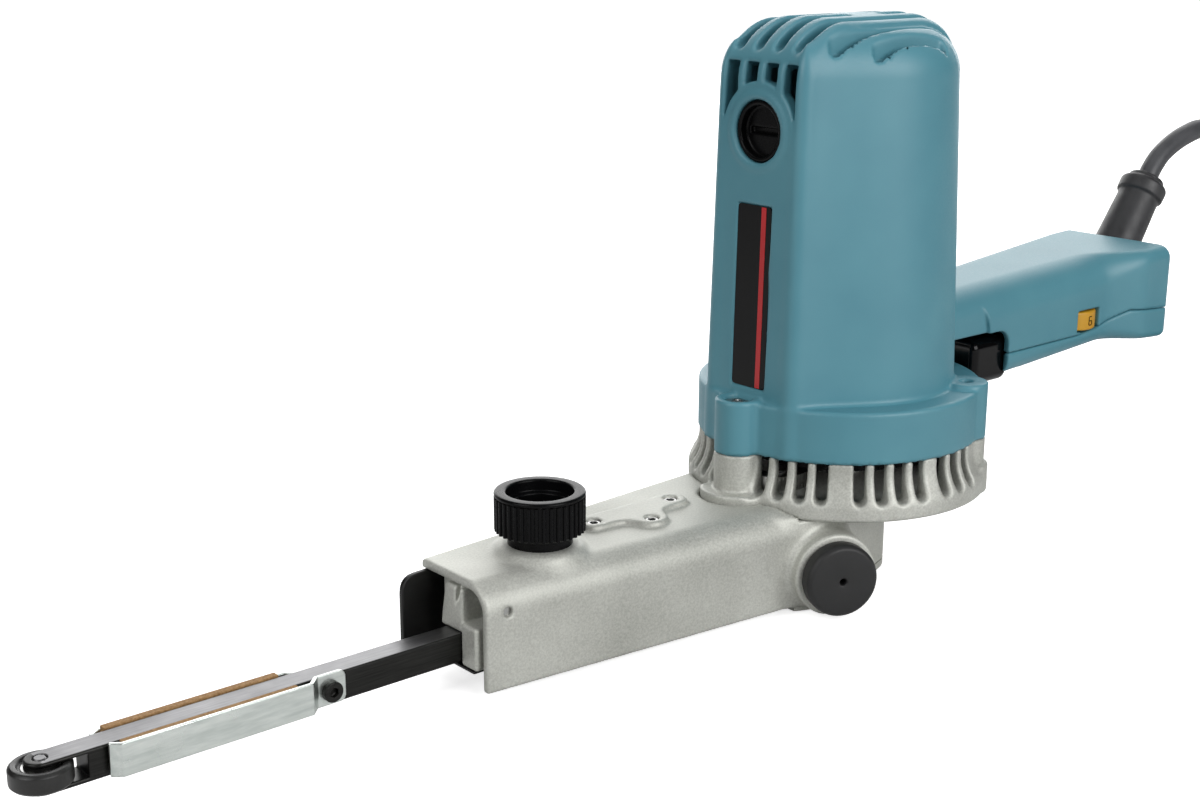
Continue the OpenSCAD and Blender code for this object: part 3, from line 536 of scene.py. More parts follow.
def coil_point(t):
    """Point of the coil after t turns: in on the floor, up and out again, then over the top to the plug."""
    radius = COIL_OUTER - COIL_PITCH * min(t, COIL_TURNS - t)
    if t > TOP_START:
        edge = COIL_OUTER + COIL_PITCH / 2
        radius = edge - (edge - COIL_INNER) * float(step(t, TOP_START, TOP_START + 0.5))
    layers = step(t, COIL_TURNS / 2 - 0.25, COIL_TURNS / 2 + 0.25) + step(t, COIL_TURNS, TOP_START)
    height = COIL_LOW + COIL_PITCH * float(layers) + PLUG_RISE * float(step(t, TOP_START, TOP_START + 0.5))
    a = 2 * math.pi * t
    return (COIL_CENTRE[0] + radius * math.cos(a), COIL_CENTRE[1] - radius * math.sin(a), height)


PLUG_START = tuple(np.array(coil_point(COIL_TURNS + 1)) - (0, PLUG_LEAD, 0))


def smooth_route(points, steps=4):
    """Catmull-Rom line through the points."""
    p = [np.array(v, float) for v in points]
    p = [2 * p[0] - p[1]] + p + [2 * p[-1] - p[-2]]
    line = []
    for a, b, c, d in zip(p, p[1:], p[2:], p[3:]):
        for t in np.arange(steps) / steps:
            square, cube = 2 * a - 5 * b + 4 * c - d, 3 * b - a - 3 * c + d
            line.append(0.5 * (2 * b + (c - a) * t + square * t**2 + cube * t**3))
    return line + [p[-2]]


def make_cord():
    """Round cord from the guard, through the coil, into the plug; also gives its length in metres."""
    line = smooth_route(CORD_ROUTE)
    line += [np.array(coil_point(i / 36)) for i in range(36 * (COIL_TURNS + 1) + 1)]
    line += [np.array(PLUG_START)]
    curve = bpy.data.curves.new("mains_cord", "CURVE")
    curve.dimensions = "3D"
    curve.bevel_depth = CORD_DIAMETER / 2 * MM
    curve.bevel_resolution = 4
    curve.use_fill_caps = True
    spline = curve.splines.new("POLY")
    spline.points.add(len(line) - 1)
    for target, point in zip(spline.points, line):
        target.co = (*(point * MM), 1)
    spline.use_smooth = True
    curve.materials.append(CORD_JACKET)
    cord = tie(put("mains_cord", curve), "body", ["cord", "cord_coil"])
    length = sum(np.linalg.norm(b - a) for a, b in zip(line, line[1:])) * MM
    return cord, length


def make_plug():
    """Round two-pin plug: ribbed neck, a waist to grip, and a flat face."""
    profile = [(0, 0), (5, 0)]
    for i in range(5):
        rib, foot = 5.2 + 0.5 * i, 2.8 * i
        profile += [(rib, foot + 0.4), (rib, foot + 2.2), (rib - 0.8, foot + 2.3), (rib - 0.8, foot + 3.1)]
    profile += [(9.4, 15), (11.2, 17), (12.3, 21), (11.4, 27), (12.2, 33), (12.2, 36), (0, 36)]
    points, faces = lathe(eased(profile, 0.5))
    points = placed(points, PLUG_START, (0, -1, 0))
    plug = piece("plug_shell", points, faces, [RUBBER], "body", ["plug_body"], 50)
    pin = eased([(0, 36), (2.4, 36), (2.4, 54), (1.4, 55), (0, 55)], 0.8)
    both, rims = [], []
    for side in (-9.5, 9.5):
        points, faces = lathe(pin, 32)
        rims += [[i + len(both) * len(points) for i in f] for f in faces]
        both.append(placed(points, np.array(PLUG_START) + (side, 0, 0), (0, -1, 0)))
    pins = piece("plug_contacts", np.concatenate(both), rims, [STEEL], "body", ["plug_pins"], 40)
    return [plug, pins]


def make_tie():
    """Black band round the coil's turns."""
    def ring(inset):
        near, low, far, high = 11.0 + inset, 0.1 + inset, 48.4 - inset, 18.1 - inset
        return eased_loop([(near, low), (far, low), (far, high), (near, high)], 5.5 - inset)

    loops = ring(0), ring(1.2)
    n = len(loops[0])
    sides = COIL_CENTRE[0] - 4, COIL_CENTRE[0] + 4
    points = [(x, COIL_CENTRE[1] + a, b) for x in sides for loop in loops for a, b in loop]
    faces = []
    for k in range(n):
        m = (k + 1) % n
        faces += [(m, 2 * n + m, 2 * n + k, k), (3 * n + k, 3 * n + m, n + m, n + k)]
        faces += [(n + k, n + m, m, k), (2 * n + m, 3 * n + m, 3 * n + k, 2 * n + k)]
    return piece("cord_tie", points, faces, [BLACK_ABS], "body", ["cable_tie"], 40)


def eased_loop(points, r, steps=6):
    """Closed outline with its corners rounded."""
    n = len(points)
    loop = []
    for i in range(n):
        loop += eased([points[i - 1], points[i], points[(i + 1) % n]], r, steps)[1:-1]
    return loop


cord, cord_length = make_cord()
plug_pieces = make_plug()
tie_piece = make_tie()


def make_cord_guard():
    """Tapered rubber sleeve that leans up out of the handle, with a thick collar at its end."""
    lean = np.array(GUARD_END) - GUARD_ROOT
    length = np.linalg.norm(lean)
    profile = [(0, -6.5), (8.3, -6.5), (8.4, 1), (7.9, 10)]
    profile += [(7.1, length - 9), (7.2, length - 7.6), (8.1, length - 7), (8.2, length - 3)]
    profile += [(7.4, length - 2), (6.3, length - 1.6), (6.1, length), (0, length)]
    points, faces = lathe(eased(profile, 1.2))
    points = placed(points, GUARD_ROOT, lean)
    return piece("cord_sleeve", points, faces, [GUARD_RUBBER], "body", ["cord_guard"], 60)


guard_piece = make_cord_guard()


# Motor housing


def front_face(z):
    """How far the motor housing's drafted front stands from the motor axis."""
    return 38.4 - (z - 56) * 0.0205


def motor_outside(x, y, z):
    """Round drafted body with a block let into its front by wide fillets, and a crowned band over both."""
    out = np.hypot(x, y)
    crown = z - 163.4 + 0.006 * y * y
    side = np.abs(y) - 17.5 + (z - 56) * 0.009
    ahead = -x - front_face(z)
    block = np.maximum(round_cut(ahead, side, 3), x - 4)
    plan = round_join(out - 33.4 + (z - 60) * 0.036, block, 0.3 + 11.2 * step(np.abs(y), 6, 15))
    shoulder = round_cut(plan, z - 160.3, 12.5)
    front = np.maximum(round_cut(round_cut(ahead, crown, 18), side, 3), x - 4)
    back = round_cut(round_cut(out - 33.9 + (z - 56) * 0.0335, crown, 13), side, 1.5)
    return np.minimum(round_join(shoulder, front, 1.0), back)


def motor_openings(x, y, z):
    """Brush seats, screw recesses and rows of air slots."""
    off_brush = np.hypot(y, z - BRUSH_Z)
    holes = np.maximum(off_brush - 8.7, np.minimum(32 + x, 28 - x))
    for bx, by, _, head in BOSSES:
        recess = np.maximum(np.hypot(x - bx, y - by) - head - 0.4, np.maximum(56.6 - z, x - bx - 2.6))
        holes = np.minimum(holes, recess)
    for row in VENT_ROWS:
        tall = np.maximum(brick(x, y, z, (-36, row, 142), (6, 2.4, 9.5), 0.5), 13.6 - off_brush)
        holes = np.minimum(holes, np.minimum(tall, brick(x, y, z, (30, row, 144.7), (6, 2.3, 6.8), 0.5)))
        bridge = 8 if abs(row) < 5 else 0
        plan = np.hypot(y - row, np.minimum(np.abs(x) - bridge, 0)) - 1.9
        holes = np.minimum(holes, np.maximum(plan, np.hypot(y - row, np.minimum(z - 156.4, 0)) - 1.9))
    for floor, line in SHOULDER_SLOTS:
        holes = np.minimum(holes, np.maximum(line_distance(x, np.abs(y), line) - 1.3, floor - z))
    return holes


def motor_form(x, y, z):
    """Motor housing on its wider ring, with three screw bosses and a ring round each brush seat."""
    x = x - MOTOR_X
    out = np.hypot(x, y)
    body = round_join(motor_outside(x, y, z), round_cut(out - 41.6, z - 58, 0.9), 1.2)
    for (bx, by, boss, _), top in zip(BOSSES, BOSS_TOPS):
        body = round_join(body, round_cut(np.hypot(x - bx, y - by) - boss, z - top, 0.6), 1.2)
    brush_ring = round_cut(np.hypot(y, z - BRUSH_Z) - 11, np.maximum(-37.5 - x, x - 32), 0.5)
    body = round_join(body, brush_ring, 0.5)
    body = round_cut(body, -motor_openings(x, y, z), 0.7)
    inside = np.maximum(out - 26, np.abs(z - BRUSH_Z) - 17)
    inside = np.minimum(inside, brick(x, y, z, (-6.5, 0, 135), (26.5, 13.6, 15)))
    body = np.maximum(body, -inside)
    plate = brick(x + front_face(z), y, z, (0, 0, 87), (0.5, 6.5, 26))
    return np.maximum(np.maximum(body, -plate), 43 - z)


MOTOR_BOX = (9, -43, 43), (104, 43, 165)
formed("motor_shell", motor_form, *MOTOR_BOX, 0.75, TEAL, "body", ["motor_housing"], "teal_plastic")


# Gear housing

# First angle and count of each row of exhaust slots; the same rows stand on the other side
SLOT_ROWS = ((-168, 4), (-128.6, 4), (-92, 3))
SLOT_STEP = 8.2
SLOT_ANGLES = [side * (first + SLOT_STEP * i) for side in (-1, 1) for first, n in SLOT_ROWS for i in range(n)]


def gear_housing_form(x, y, z):
    """Cast ring with a flared rim, rows of exhaust slots and three screw lugs."""
    x = x - MOTOR_X
    out = np.hypot(x, y)
    slope = (out - 44.3) * 0.819 + (z - 32.5) * 0.573
    rim = round_cut(round_cut(out - 44.3, slope, 1.0), 27 - z, 0.8)
    ring = round_join(out - 41.2, rim, 2)
    for (bx, by, boss, _), (ledge, height) in zip(BOSSES, LEDGES):
        away = np.hypot(x - bx, y - by)
        lug = round_join(away - boss, round_cut(away - boss - ledge, z - height, 0.5), 0.6)
        ring = round_join(ring, lug, 0.8)
    ring = round_cut(ring, np.maximum(26.8 - z, z - 43), 0.5)
    ring = np.maximum(ring, -np.maximum(out - 38, 31 - z))
    cuts = None
    for angle in SLOT_ANGLES:
        c, s = math.cos(math.radians(angle)), math.sin(math.radians(angle))
        across = y * c - x * s
        slot = np.maximum(np.hypot(across, np.minimum(z - 33.4, 0)) - 1.75, 37 - (x * c + y * s))
        cuts = slot if cuts is None else np.minimum(cuts, slot)
    return round_cut(ring, -cuts, 0.9)


GEAR_BOX = (7, -46, 26.5), (106, 46, 43)
formed("gear_ring", gear_housing_form, *GEAR_BOX, 0.6, SILVER, "body", ["gear_housing"], "cast_silver")


# Arm housing

FLARE = math.atan((CASE_HALF - CHANNEL_HALF) / CHANNEL_LENGTH)
PORT_ROOT = np.array((31.0, -23.3, 11.8))
PORT_AXIS = np.array((-math.sin(math.radians(25)), -math.cos(math.radians(25)), 0.0))
PAD_CORNERS = [(-35, 10), (-35, 2), (-23, 0), (-21, -6), (-13, -6), (-10, 1), (2, 2), (2, 10)]
PAD_OUTLINE = eased_loop(PAD_CORNERS, 3, 4)


def case_distance(x, y, big, small):
    """Distance to the outline round the pulley and motor axes."""
    reach = MOTOR_X - SPINDLE_X
    b = (big - small) / reach
    a = math.sqrt(1 - b * b)
    side, ahead = np.abs(y), x - SPINDLE_X
    k = a * ahead - b * side
    near = np.hypot(side, ahead) - big
    far = np.hypot(side, ahead - reach) - small
    return np.where(k < 0, near, np.where(k > a * reach, far, a * side + b * ahead - big))


def arm_housing_form(x, y, z):
    """Cast channel with a round near shoulder, open below and on the far side, and its gear case."""
    s, c = math.sin(FLARE), math.cos(FLARE)
    near = -((x - CHANNEL_FRONT) * s + (y + CHANNEL_HALF) * c)
    far = -((x - CHANNEL_FRONT) * s - (y - CHANNEL_HALF) * c)
    outer = round_cut(round_cut(near, z - 30, 8), far - 1.2, 1.2)
    space = round_cut(near + 2.2, z - 27.5, 5.5)
    shell = round_cut(outer, -space, 0.6)
    shell = round_cut(round_cut(shell, 1.5 - z, 0.7), np.maximum(CHANNEL_FRONT - x, x - 34), 0.7)
    case = round_cut(case_distance(x, y, 25, 15.3), np.maximum(2 - z, z - 28), 0.8)
    room = np.maximum(np.maximum(near + 3.4, far + 3.4), np.maximum(x - SPINDLE_X, z - 16.4))
    room = np.minimum(room, np.maximum(np.hypot(x - SPINDLE_X, y) - 20.1, z - 16.4))
    case = np.maximum(case, -room)
    body = round_join(shell, case, 2.5)
    px, py, pz = x - PORT_ROOT[0], y - PORT_ROOT[1], z - PORT_ROOT[2]
    along = px * PORT_AXIS[0] + py * PORT_AXIS[1]
    off = np.hypot(px * PORT_AXIS[1] - py * PORT_AXIS[0], pz)
    port = round_cut(off - 12, np.maximum(along - 8.5, -2.5 - along), 0.8)
    body = round_join(body, port, 2.5)
    plan = outline_distance(x, y, PAD_OUTLINE)
    for hx, hy in PAD_HOLES:
        plan = round_join(plan, np.hypot(x - hx, y - hy) - 3.9, 1.5)
    pad = round_cut(plan, np.maximum(z - 31.5, 29 - z), 0.6)
    body = round_join(body, pad, 1.2)
    mound = round_cut(np.hypot(x - KNOB_X, y) - 11, np.abs(z - 29.8) - 2.2, 1.5)
    body = round_join(body, mound, 3.5)
    body = round_join(body, brick(x, y, z, (PIVOT_X, 7.7, 24.5), (3.5, 1.5, 4.5), 0.5), 0.6)
    holes = np.maximum(off - 8.4, 2 - along)
    holes = np.minimum(holes, np.maximum(np.hypot(x - PIVOT_X, z - PIVOT_Z) - 1.3, y))
    holes = np.minimum(holes, np.hypot(x - KNOB_X, y) - 3.1)
    for hx, hy in PAD_HOLES:
        holes = np.minimum(holes, np.hypot(x - hx, y - hy) - 2)
    body = round_cut(body, -holes, 0.4)
    round_room = np.hypot(x - MOTOR_X, y) - 44.7
    for (bx, by, boss, _), (ledge, _) in zip(BOSSES, LEDGES):
        round_room = np.minimum(round_room, np.hypot(x - MOTOR_X - bx, y - by) - boss - ledge - 0.5)
    return np.maximum(body, -np.maximum(round_room, 26.9 - z))


ARM_BOX = (-82, -38, 1), (76, 26, 33)
formed("arm_casting", arm_housing_form, *ARM_BOX, 0.65, SILVER, "body", ["arm_housing"], "cast_silver")


# Handle


def handle_form(x, y, z):
    """Grip that widens to a flared tail, with a scoop in each side above the trigger."""
    along = np.clip((x - 100) / 88, 0, 1)
    half = 17 + 5 * np.where(y > 0, along, step(x, 168, 186))
    soft = 11 - 6.5 * np.where(y > 0, along, step(x, 160, 188))
    top = 79.6 + (x - 97) * 0.0444
    bottom = 51.5 + (x - 124) * 0.061 - 3.4 * step(x, 168, 205)
    form = round_cut(np.abs(y) - half, z - top, soft)
    form = round_cut(form, bottom - z, 5 - 2.5 * step(x, 172, 188))
    form = round_cut(form, x - 199, 3)
    scoop = np.maximum(np.hypot(x - 95, z - 66) - 14, 15.6 - np.abs(y))
    form = round_cut(form, -scoop, 0.8)
    trigger_room = np.maximum(round_cut(x - 119, z - 66.3, 5), 90 - x)
    pocket = brick(x, y, z, (120, 0, 57), (20, 9.7, 9.5))
    pocket = np.minimum(pocket, brick(x, y, z, (114.5, 0, 57), (14, 14.9, 9.3)))
    form = round_cut(form, -trigger_room, 0.6)
    form = np.maximum(form, -pocket)
    lean = (np.array(GUARD_END) - GUARD_ROOT) / math.dist(GUARD_END, GUARD_ROOT)
    off = np.hypot((x - GUARD_ROOT[0]) * lean[2] - (z - GUARD_ROOT[2]) * lean[0], y - GUARD_ROOT[1])
    form = np.maximum(form, -np.maximum(off - 8.7, 185 - x))
    return np.maximum(form, 0.2 - motor_outside(x - MOTOR_X, y, z))


# Line of the seam between the handle's shells, along X and up
SEAM = ((118, 58.5), (155, 58.8), (166, 60.0), (179, 64.4), (200, 62.8))


def seam_height(x):
    return np.interp(x, *zip(*SEAM))


def upper_form(x, y, z):
    """Handle above its seam, with a window for the dial."""
    window = brick(x, y, z, (DIAL_X, -17, DIAL_Z), (5.8, 4, 3.6), 0.4)
    return np.maximum(round_cut(handle_form(x, y, z), seam_height(x) + 0.12 - z, 0.45), -window)


def lower_form(x, y, z):
    return round_cut(handle_form(x, y, z), z - seam_height(x) + 0.12, 0.45)


UPPER_BOX = (84, -24, 56), (200, 24, 86)
LOWER_BOX = (116, -24, 48), (200, 24, 66)
formed("grip_upper", upper_form, *UPPER_BOX, 0.65, TEAL, "body", ["handle_upper"], "teal_plastic")
formed("grip_lower", lower_form, *LOWER_BOX, 0.65, TEAL, "body", ["handle_lower"], "teal_plastic")


def trigger_form(x, y, z):
    """Finger lever with a hollowed front and rounded cheeks."""
    lever = brick(x, y, z, (113.5, 0, 56.6), (9.1, 14.6, 7.2), 3)
    lever = round_join(lever, brick(x, y, z, (125, 0, 57.5), (8.4, 9, 6.5), 1.5), 1.0)
    hollow = np.maximum(np.hypot(x - 100, z - 55.5) - 9, np.abs(y) - 12.2)
    return round_cut(lever, -hollow, 1.2)


TRIGGER_BOX = (103, -16, 48), (135, 16, 66)
formed("finger_lever", trigger_form, *TRIGGER_BOX, 0.5, GLOSS_BLACK, "trigger", ["trigger"], "black_plastic")


# Small turned, bent and machined pieces


def brush_cap_form(x, y, z):
    """Screw cap sunk in its ring: a cup with a slot across its floor."""
    x, out = np.where(x < MOTOR_X, MOTOR_X - x, x - MOTOR_X + 4), np.hypot(y, z - BRUSH_Z)
    cap = round_cut(out - 8.5, np.maximum(x - 36.6, 32.2 - x), 0.5)
    cup = np.minimum(np.maximum(out - 7.1, 34 - x), brick(x, y, z, (34, 0, BRUSH_Z), (1.2, 5.6, 0.9)))
    return round_cut(cap, -cup, 0.4)


CAPS_BOX = (22, -9, BRUSH_Z - 9), (94, 9, BRUSH_Z + 9)
formed("brush_plugs", brush_cap_form, *CAPS_BOX, 0.45, BLACK_ABS, "body", ["brush_caps"], "black_plastic")


def make_nameplate():
    """Plain black plate with a red line, let into the drafted front of the motor housing."""
    def slab(name, across, heights, depth, radius, material, replaces):
        (a, b), (low, high) = across, heights
        loop = eased_loop([(a, low), (b, low), (b, high), (a, high)], radius)
        points, faces = prism(loop, 0, 0.6, "x")
        points[:, 0] += MOTOR_X - front_face(points[:, 2]) + depth
        return piece(name, points, faces, [material], "body", replaces, 30)

    slab("name_plate", (-6.4, 6.4), (61.2, 112.8), -0.05, 1.2, GLOSS_BLACK, ["nameplate"])
    slab("name_plate_line", (-4.5, -2.7), (61.4, 112.6), -0.12, 0.3, RED_INK, None)


make_nameplate()


def make_port_plug():
    """Rubber plug pressed into the side port, with a small hole in its middle."""
    profile = [(0, 2), (8.3, 2), (8.3, 8.6), (10.3, 8.7), (10.5, 9.4), (10.5, 12.8), (9.6, 13.9)]
    profile += [(1.0, 14.0), (0.8, 10), (0, 10)]
    points, faces = lathe(eased(profile, 0.6), 96)
    points = placed(points, PORT_ROOT, PORT_AXIS)
    piece("side_plug", points, faces, [RUBBER], "body", ["port_plug"], 45)


make_port_plug()


def make_knob():
    """Hollow-topped tracking knob; its flutes are a ring of ribs."""
    profile = [(0, 31.8), (8.6, 31.8), (8.6, 35), (10.6, 35.2), (11.5, 36), (11.5, 45), (12, 45.4), (12, 46)]
    profile += [(11.6, 46.4), (9.3, 46.4), (8.9, 46), (8.9, 43.2), (7.2, 43), (7.2, 38), (0, 38)]
    points, faces = lathe(eased(profile, 0.35), 96)
    piece("tracking_knob", points + (KNOB_X, 0, 0), faces, [BLACK_ABS], "knob", ["knob"], 40)


make_knob()


# Geometry Nodes for what repeats


def new_group(name, inputs):
    """Node group with named inputs, a material among them, and one geometry output."""
    group = bpy.data.node_groups.new(name, "GeometryNodeTree")
    for label, kind in [*inputs.items(), ("Material", "Material")]:
        group.interface.new_socket(label, in_out="INPUT", socket_type="NodeSocket" + kind)
    group.interface.new_socket("Geometry", in_out="OUTPUT", socket_type="NodeSocketGeometry")
    return group, group.nodes.new("NodeGroupInput").outputs


def close_group(group, shape, given):
    """Ends a group: real copies, the given material, the output."""
    solid = add(group, "GeometryNodeRealizeInstances", None, {"Geometry": shape}).outputs[0]
    links = {"Geometry": solid, "Material": given["Material"]}
    painted = add(group, "GeometryNodeSetMaterial", None, links).outputs[0]
    add(group, "NodeGroupOutput", None, {"Geometry": painted})
    return group


def rib_ring_group():
    """Ribs that stand in a ring round Z."""
    sizes = ("Ring Radius", "Middle", "Rib Radius", "Rib Length")
    group, given = new_group("rib_ring", {"Count": "Int", **dict.fromkeys(sizes, "Float")})
    links = {"Vertices": given["Count"], "Radius": given["Ring Radius"]}
    ring = add(group, "GeometryNodeMeshCircle", None, links).outputs[0]
    links = {"Radius": given["Rib Radius"], "Depth": given["Rib Length"]}
    rib = add(group, "GeometryNodeMeshCylinder", {"Vertices": 10}, links).outputs["Mesh"]
    lift = add(group, "ShaderNodeCombineXYZ", None, {"Z": given["Middle"]}).outputs[0]
    raised = add(group, "GeometryNodeTransform", None, {"Geometry": rib, "Translation": lift}).outputs[0]
    ribs = add(group, "GeometryNodeInstanceOnPoints", None, {"Points": ring, "Instance": raised}).outputs[0]
    return close_group(group, ribs, given)


def scatter_group():
    """A copy of an object at each point of the mesh."""
    group, given = new_group("part_at_points", {"Geometry": "Geometry", "Part": "Object"})
    part = add(group, "GeometryNodeObjectInfo", None, {"Object": given["Part"]}).outputs["Geometry"]
    links = {"Points": given["Geometry"], "Instance": part}
    copies = add(group, "GeometryNodeInstanceOnPoints", None, links).outputs[0]
    return close_group(group, copies, given)


def coil_group():
    """Round wire wound along Z, straight or tapered."""
    sizes = ("Turns", "Start Radius", "End Radius", "Length", "Wire Radius")
    group, given = new_group("wound_wire", dict.fromkeys(sizes, "Float"))
    links = {"Rotations": given["Turns"], "Height": given["Length"]}
    links |= {label: given[label] for label in ("Start Radius", "End Radius")}
    line = add(group, "GeometryNodeCurveSpiral", {"Resolution": 24}, links).outputs[0]
    links = {"Radius": given["Wire Radius"]}
    section = add(group, "GeometryNodeCurvePrimitiveCircle", {"Resolution": 8}, links).outputs[0]
    links = {"Curve": line, "Profile Curve": section}
    wire = add(group, "GeometryNodeCurveToMesh", {"Fill Caps": True}, links).outputs[0]
    return close_group(group, wire, given)


def grown(name, group, values, points=()):
    """Runs a node group on a mesh of points and keeps the result as a plain mesh."""
    thing = put(name, new_mesh(name, points, []))
    modifier = thing.modifiers.new("grow", "NODES")
    modifier.node_group = group
    for item in group.interface.items_tree:
        if item.in_out == "INPUT" and item.name in values:
            modifier[item.identifier] = values[item.name]
    settle(thing)
    thing.data.polygons.foreach_set("use_smooth", [True] * len(thing.data.polygons))
    thing.data.set_sharp_from_angle(angle=math.radians(40))
    return thing


RIB_RING = rib_ring_group()
AT_POINTS = scatter_group()
WOUND_WIRE = coil_group()


def rib_ring(name, count, radius, middle, rib, length, place, material, body):
    """Round ribs in a ring that stands at a place."""
    sizes = {"Ring Radius": radius, "Middle": middle, "Rib Radius": rib, "Rib Length": length}
    values = {label: size * MM for label, size in sizes.items()}
    thing = grown(name, RIB_RING, {"Count": count, "Material": material, **values})
    thing.data.transform(Matrix.Translation(Vector(place) * MM))
    return tie(thing, body, None)


def screw_head(radius, height, hexagon):
    """Head that stands on Z with a six-sided socket, rounded at its rim."""
    def form(x, y, z):
        head = round_cut(np.hypot(x, y) - radius, np.maximum(z, -height - z), 0.35)
        flats = np.maximum(np.abs(x), np.maximum(np.abs(x * 0.5 + y * 0.866), np.abs(x * 0.5 - y * 0.866)))
        return round_cut(head, -np.maximum(flats - hexagon, -0.7 * height - z), 0.12)

    points, quads = skin(form, (-radius, -radius, -height), (radius, radius, 0), radius / 14)
    return put("screw_head", new_mesh("screw_head", points, quads))


def screws(name, head, places, material, body, node, slot, axis=(0, 0, 1), origin=(0, 0, 0)):
    """Screw heads at places given on Z, then turned to stand on an axis at an origin."""
    thing = grown(name, AT_POINTS, {"Part": head, "Material": material}, places)
    turn = Vector((0, 0, 1)).rotation_difference(Vector(axis)).to_matrix().to_4x4()
    thing.data.transform(Matrix.Translation(Vector(origin) * MM) @ turn)
    bpy.data.objects.remove(head)
    return tie(thing, body, [node] if node else None)


rib_ring("knob_flutes", 38, 11.45, 40.4, 0.55, 9.2, (KNOB_X, 0, 0), BLACK_ABS, "knob")
pad_places = [(x, y, 31.0) for x, y in PAD_HOLES]
screws("pad_screw_heads", screw_head(1.9, 3, 1.05), pad_places, TURNED_STEEL, "body", "pad_screws", "steel")
for label, bosses, node in (("front", BOSSES[:1], "housing_screws"), ("rear", BOSSES[1:], None)):
    head = screw_head(bosses[0][3], 3.5, 0.45 * bosses[0][3])
    places = [(MOTOR_X + x, y, 57.6) for x, y, _, _ in bosses]
    screws(label + "_housing_screw_heads", head, places, TURNED_STEEL, "body", node, "steel")


# Arm: bar, roller, shoes


def bar_form(x, y, z):
    """Flat bar with a round tip, forked for the roller."""
    plan = np.where(x < ROLLER_X, np.hypot(x - ROLLER_X, y), np.abs(y)) - 3.5
    bar = round_cut(round_cut(plan, np.abs(z - 11.2) - 3.8, 0.35), x + 70, 0.3)
    slot = np.maximum(np.abs(z - 11.3) - 2.8, x - ROLLER_X - 9.4)
    bar = round_cut(bar, -slot, 0.25)
    return np.maximum(bar, -(np.hypot(x - ROLLER_X, y) - 1.65))


def make_bar():
    """Blackened bar; its top faces are painted lighter with ground steel, a painted highlight for the light
    off its top.
    """
    points, quads = skin(bar_form, (-195, -3.5, 7.4), (-70, 3.5, 15), 0.32)
    centre = points[quads].mean(1)
    # Painted highlight: the top faces take the lighter ground-steel material to stand for light reflected off
    # the bar's top
    bright = (centre[:, 2] > 14.9) & (np.abs(centre[:, 1]) < 3.1) & (centre[:, 0] > ROLLER_X - 0.5)
    picks = np.where(bright, 0, 1)
    piece("arm_blade", points, quads, [STEEL, BLACK_OXIDE], "arm", ["arm_bar"], picks=picks)


make_bar()


def make_roller():
    """Rubber tyre on a hub, both sunk a little inside the rim, and the pin they turn on."""
    tyre = [(0, 9), (6.3, 9), (7, 9.7), (7, 13.2), (6.3, 13.9), (5.2, 13.9), (4.7, 13), (0, 13)]
    axle = (ROLLER_X, 0, 0)
    points, faces = lathe(eased(tyre, 0.25), 72)
    nodes = ["roller_tyre", "roller_hub"]
    piece("tip_roller", points + axle, faces, [TYRE], "roller", nodes, 40)
    hub = [(0, 9.1), (4.5, 9.1), (4.5, 12.9), (4.2, 13.15), (0, 13.15)]
    points, faces = lathe(eased(hub, 0.2), 48)
    piece("tip_roller_hub", points + axle, faces, [TURNED_STEEL], "roller", None, 40)
    points, faces = lathe([(0, 13), (3.6, 13), (3.6, 13.95), (0, 13.95)], 48)
    piece("tip_washer", points + axle, faces, [BLACK_OXIDE], "roller", None, 40)
    pin = [(0, 7.3), (1.2, 7.3), (1.5, 7.6), (1.5, 14.8), (1.2, 15.1), (0, 15.1)]
    points, faces = lathe(pin, 40)
    piece("tip_pin", points + axle, faces, [STEEL], "arm", ["roller_pin"], 40)


make_roller()

# Middle line of a shoe's strip seen from above; then each shoe's side, its low and high edges and its
# cork's top: the far shoe is the same strip turned over
SHOE_LINE = [(-177.0, 5.0), (-175.0, 6.5), (-127.2, 6.5), (-124.7, 4.0), (-116.7, 4.0)]
SHOE_HEIGHTS = {"near": (-1, 7.8, 15.9, 15.6), "far": (1, 6.1, 14.2, 15.3)}


def make_shoes():
    """Wear shoes bent from plated strip, each with a cork pad behind it."""
    for name, (side, low, high, cork_top) in SHOE_HEIGHTS.items():
        def strip(x, y, z):
            band = round_cut(line_distance(x, side * y, SHOE_LINE) - 0.5, np.maximum(low - z, z - high), 0.2)
            return np.maximum(band, round_cut(x + 116.7, np.maximum(low - z, z - high), 1.6))

        edge = sorted((side * 3, side * 7.2))
        box = (-178, edge[0], low), (-116, edge[1], high)
        formed(name + "_wear_shoe", strip, *box, 0.25, ZINC, "arm", [name + "_shoe"], "chrome")
        corners = [(-174.5, side * 3.9), (-130, side * 3.9), (-130, side * 6.05), (-174.5, side * 6.05)]
        points, faces = prism(corners, low + 0.2, cork_top)
        bevelled(piece(name + "_cork_pad", points, faces, [CORK], "arm", [name + "_cork"]), 0.3, 2)


make_shoes()
for label, side, height, node in (("near", -1, 11.4, "shoe_screws"), ("far", 1, 10.7, None)):
    head = screw_head(2.6, 1.9, 1.1)
    facing = {"axis": (0, side, 0), "origin": (-120.8, side * 6.1, height)}
    screws(label + "_shoe_screw", head, [(0, 0, 0)], BLACK_OXIDE, "arm", node, "black_plastic", **facing)


# Front of the arm housing: holder, slide plate and belt guard


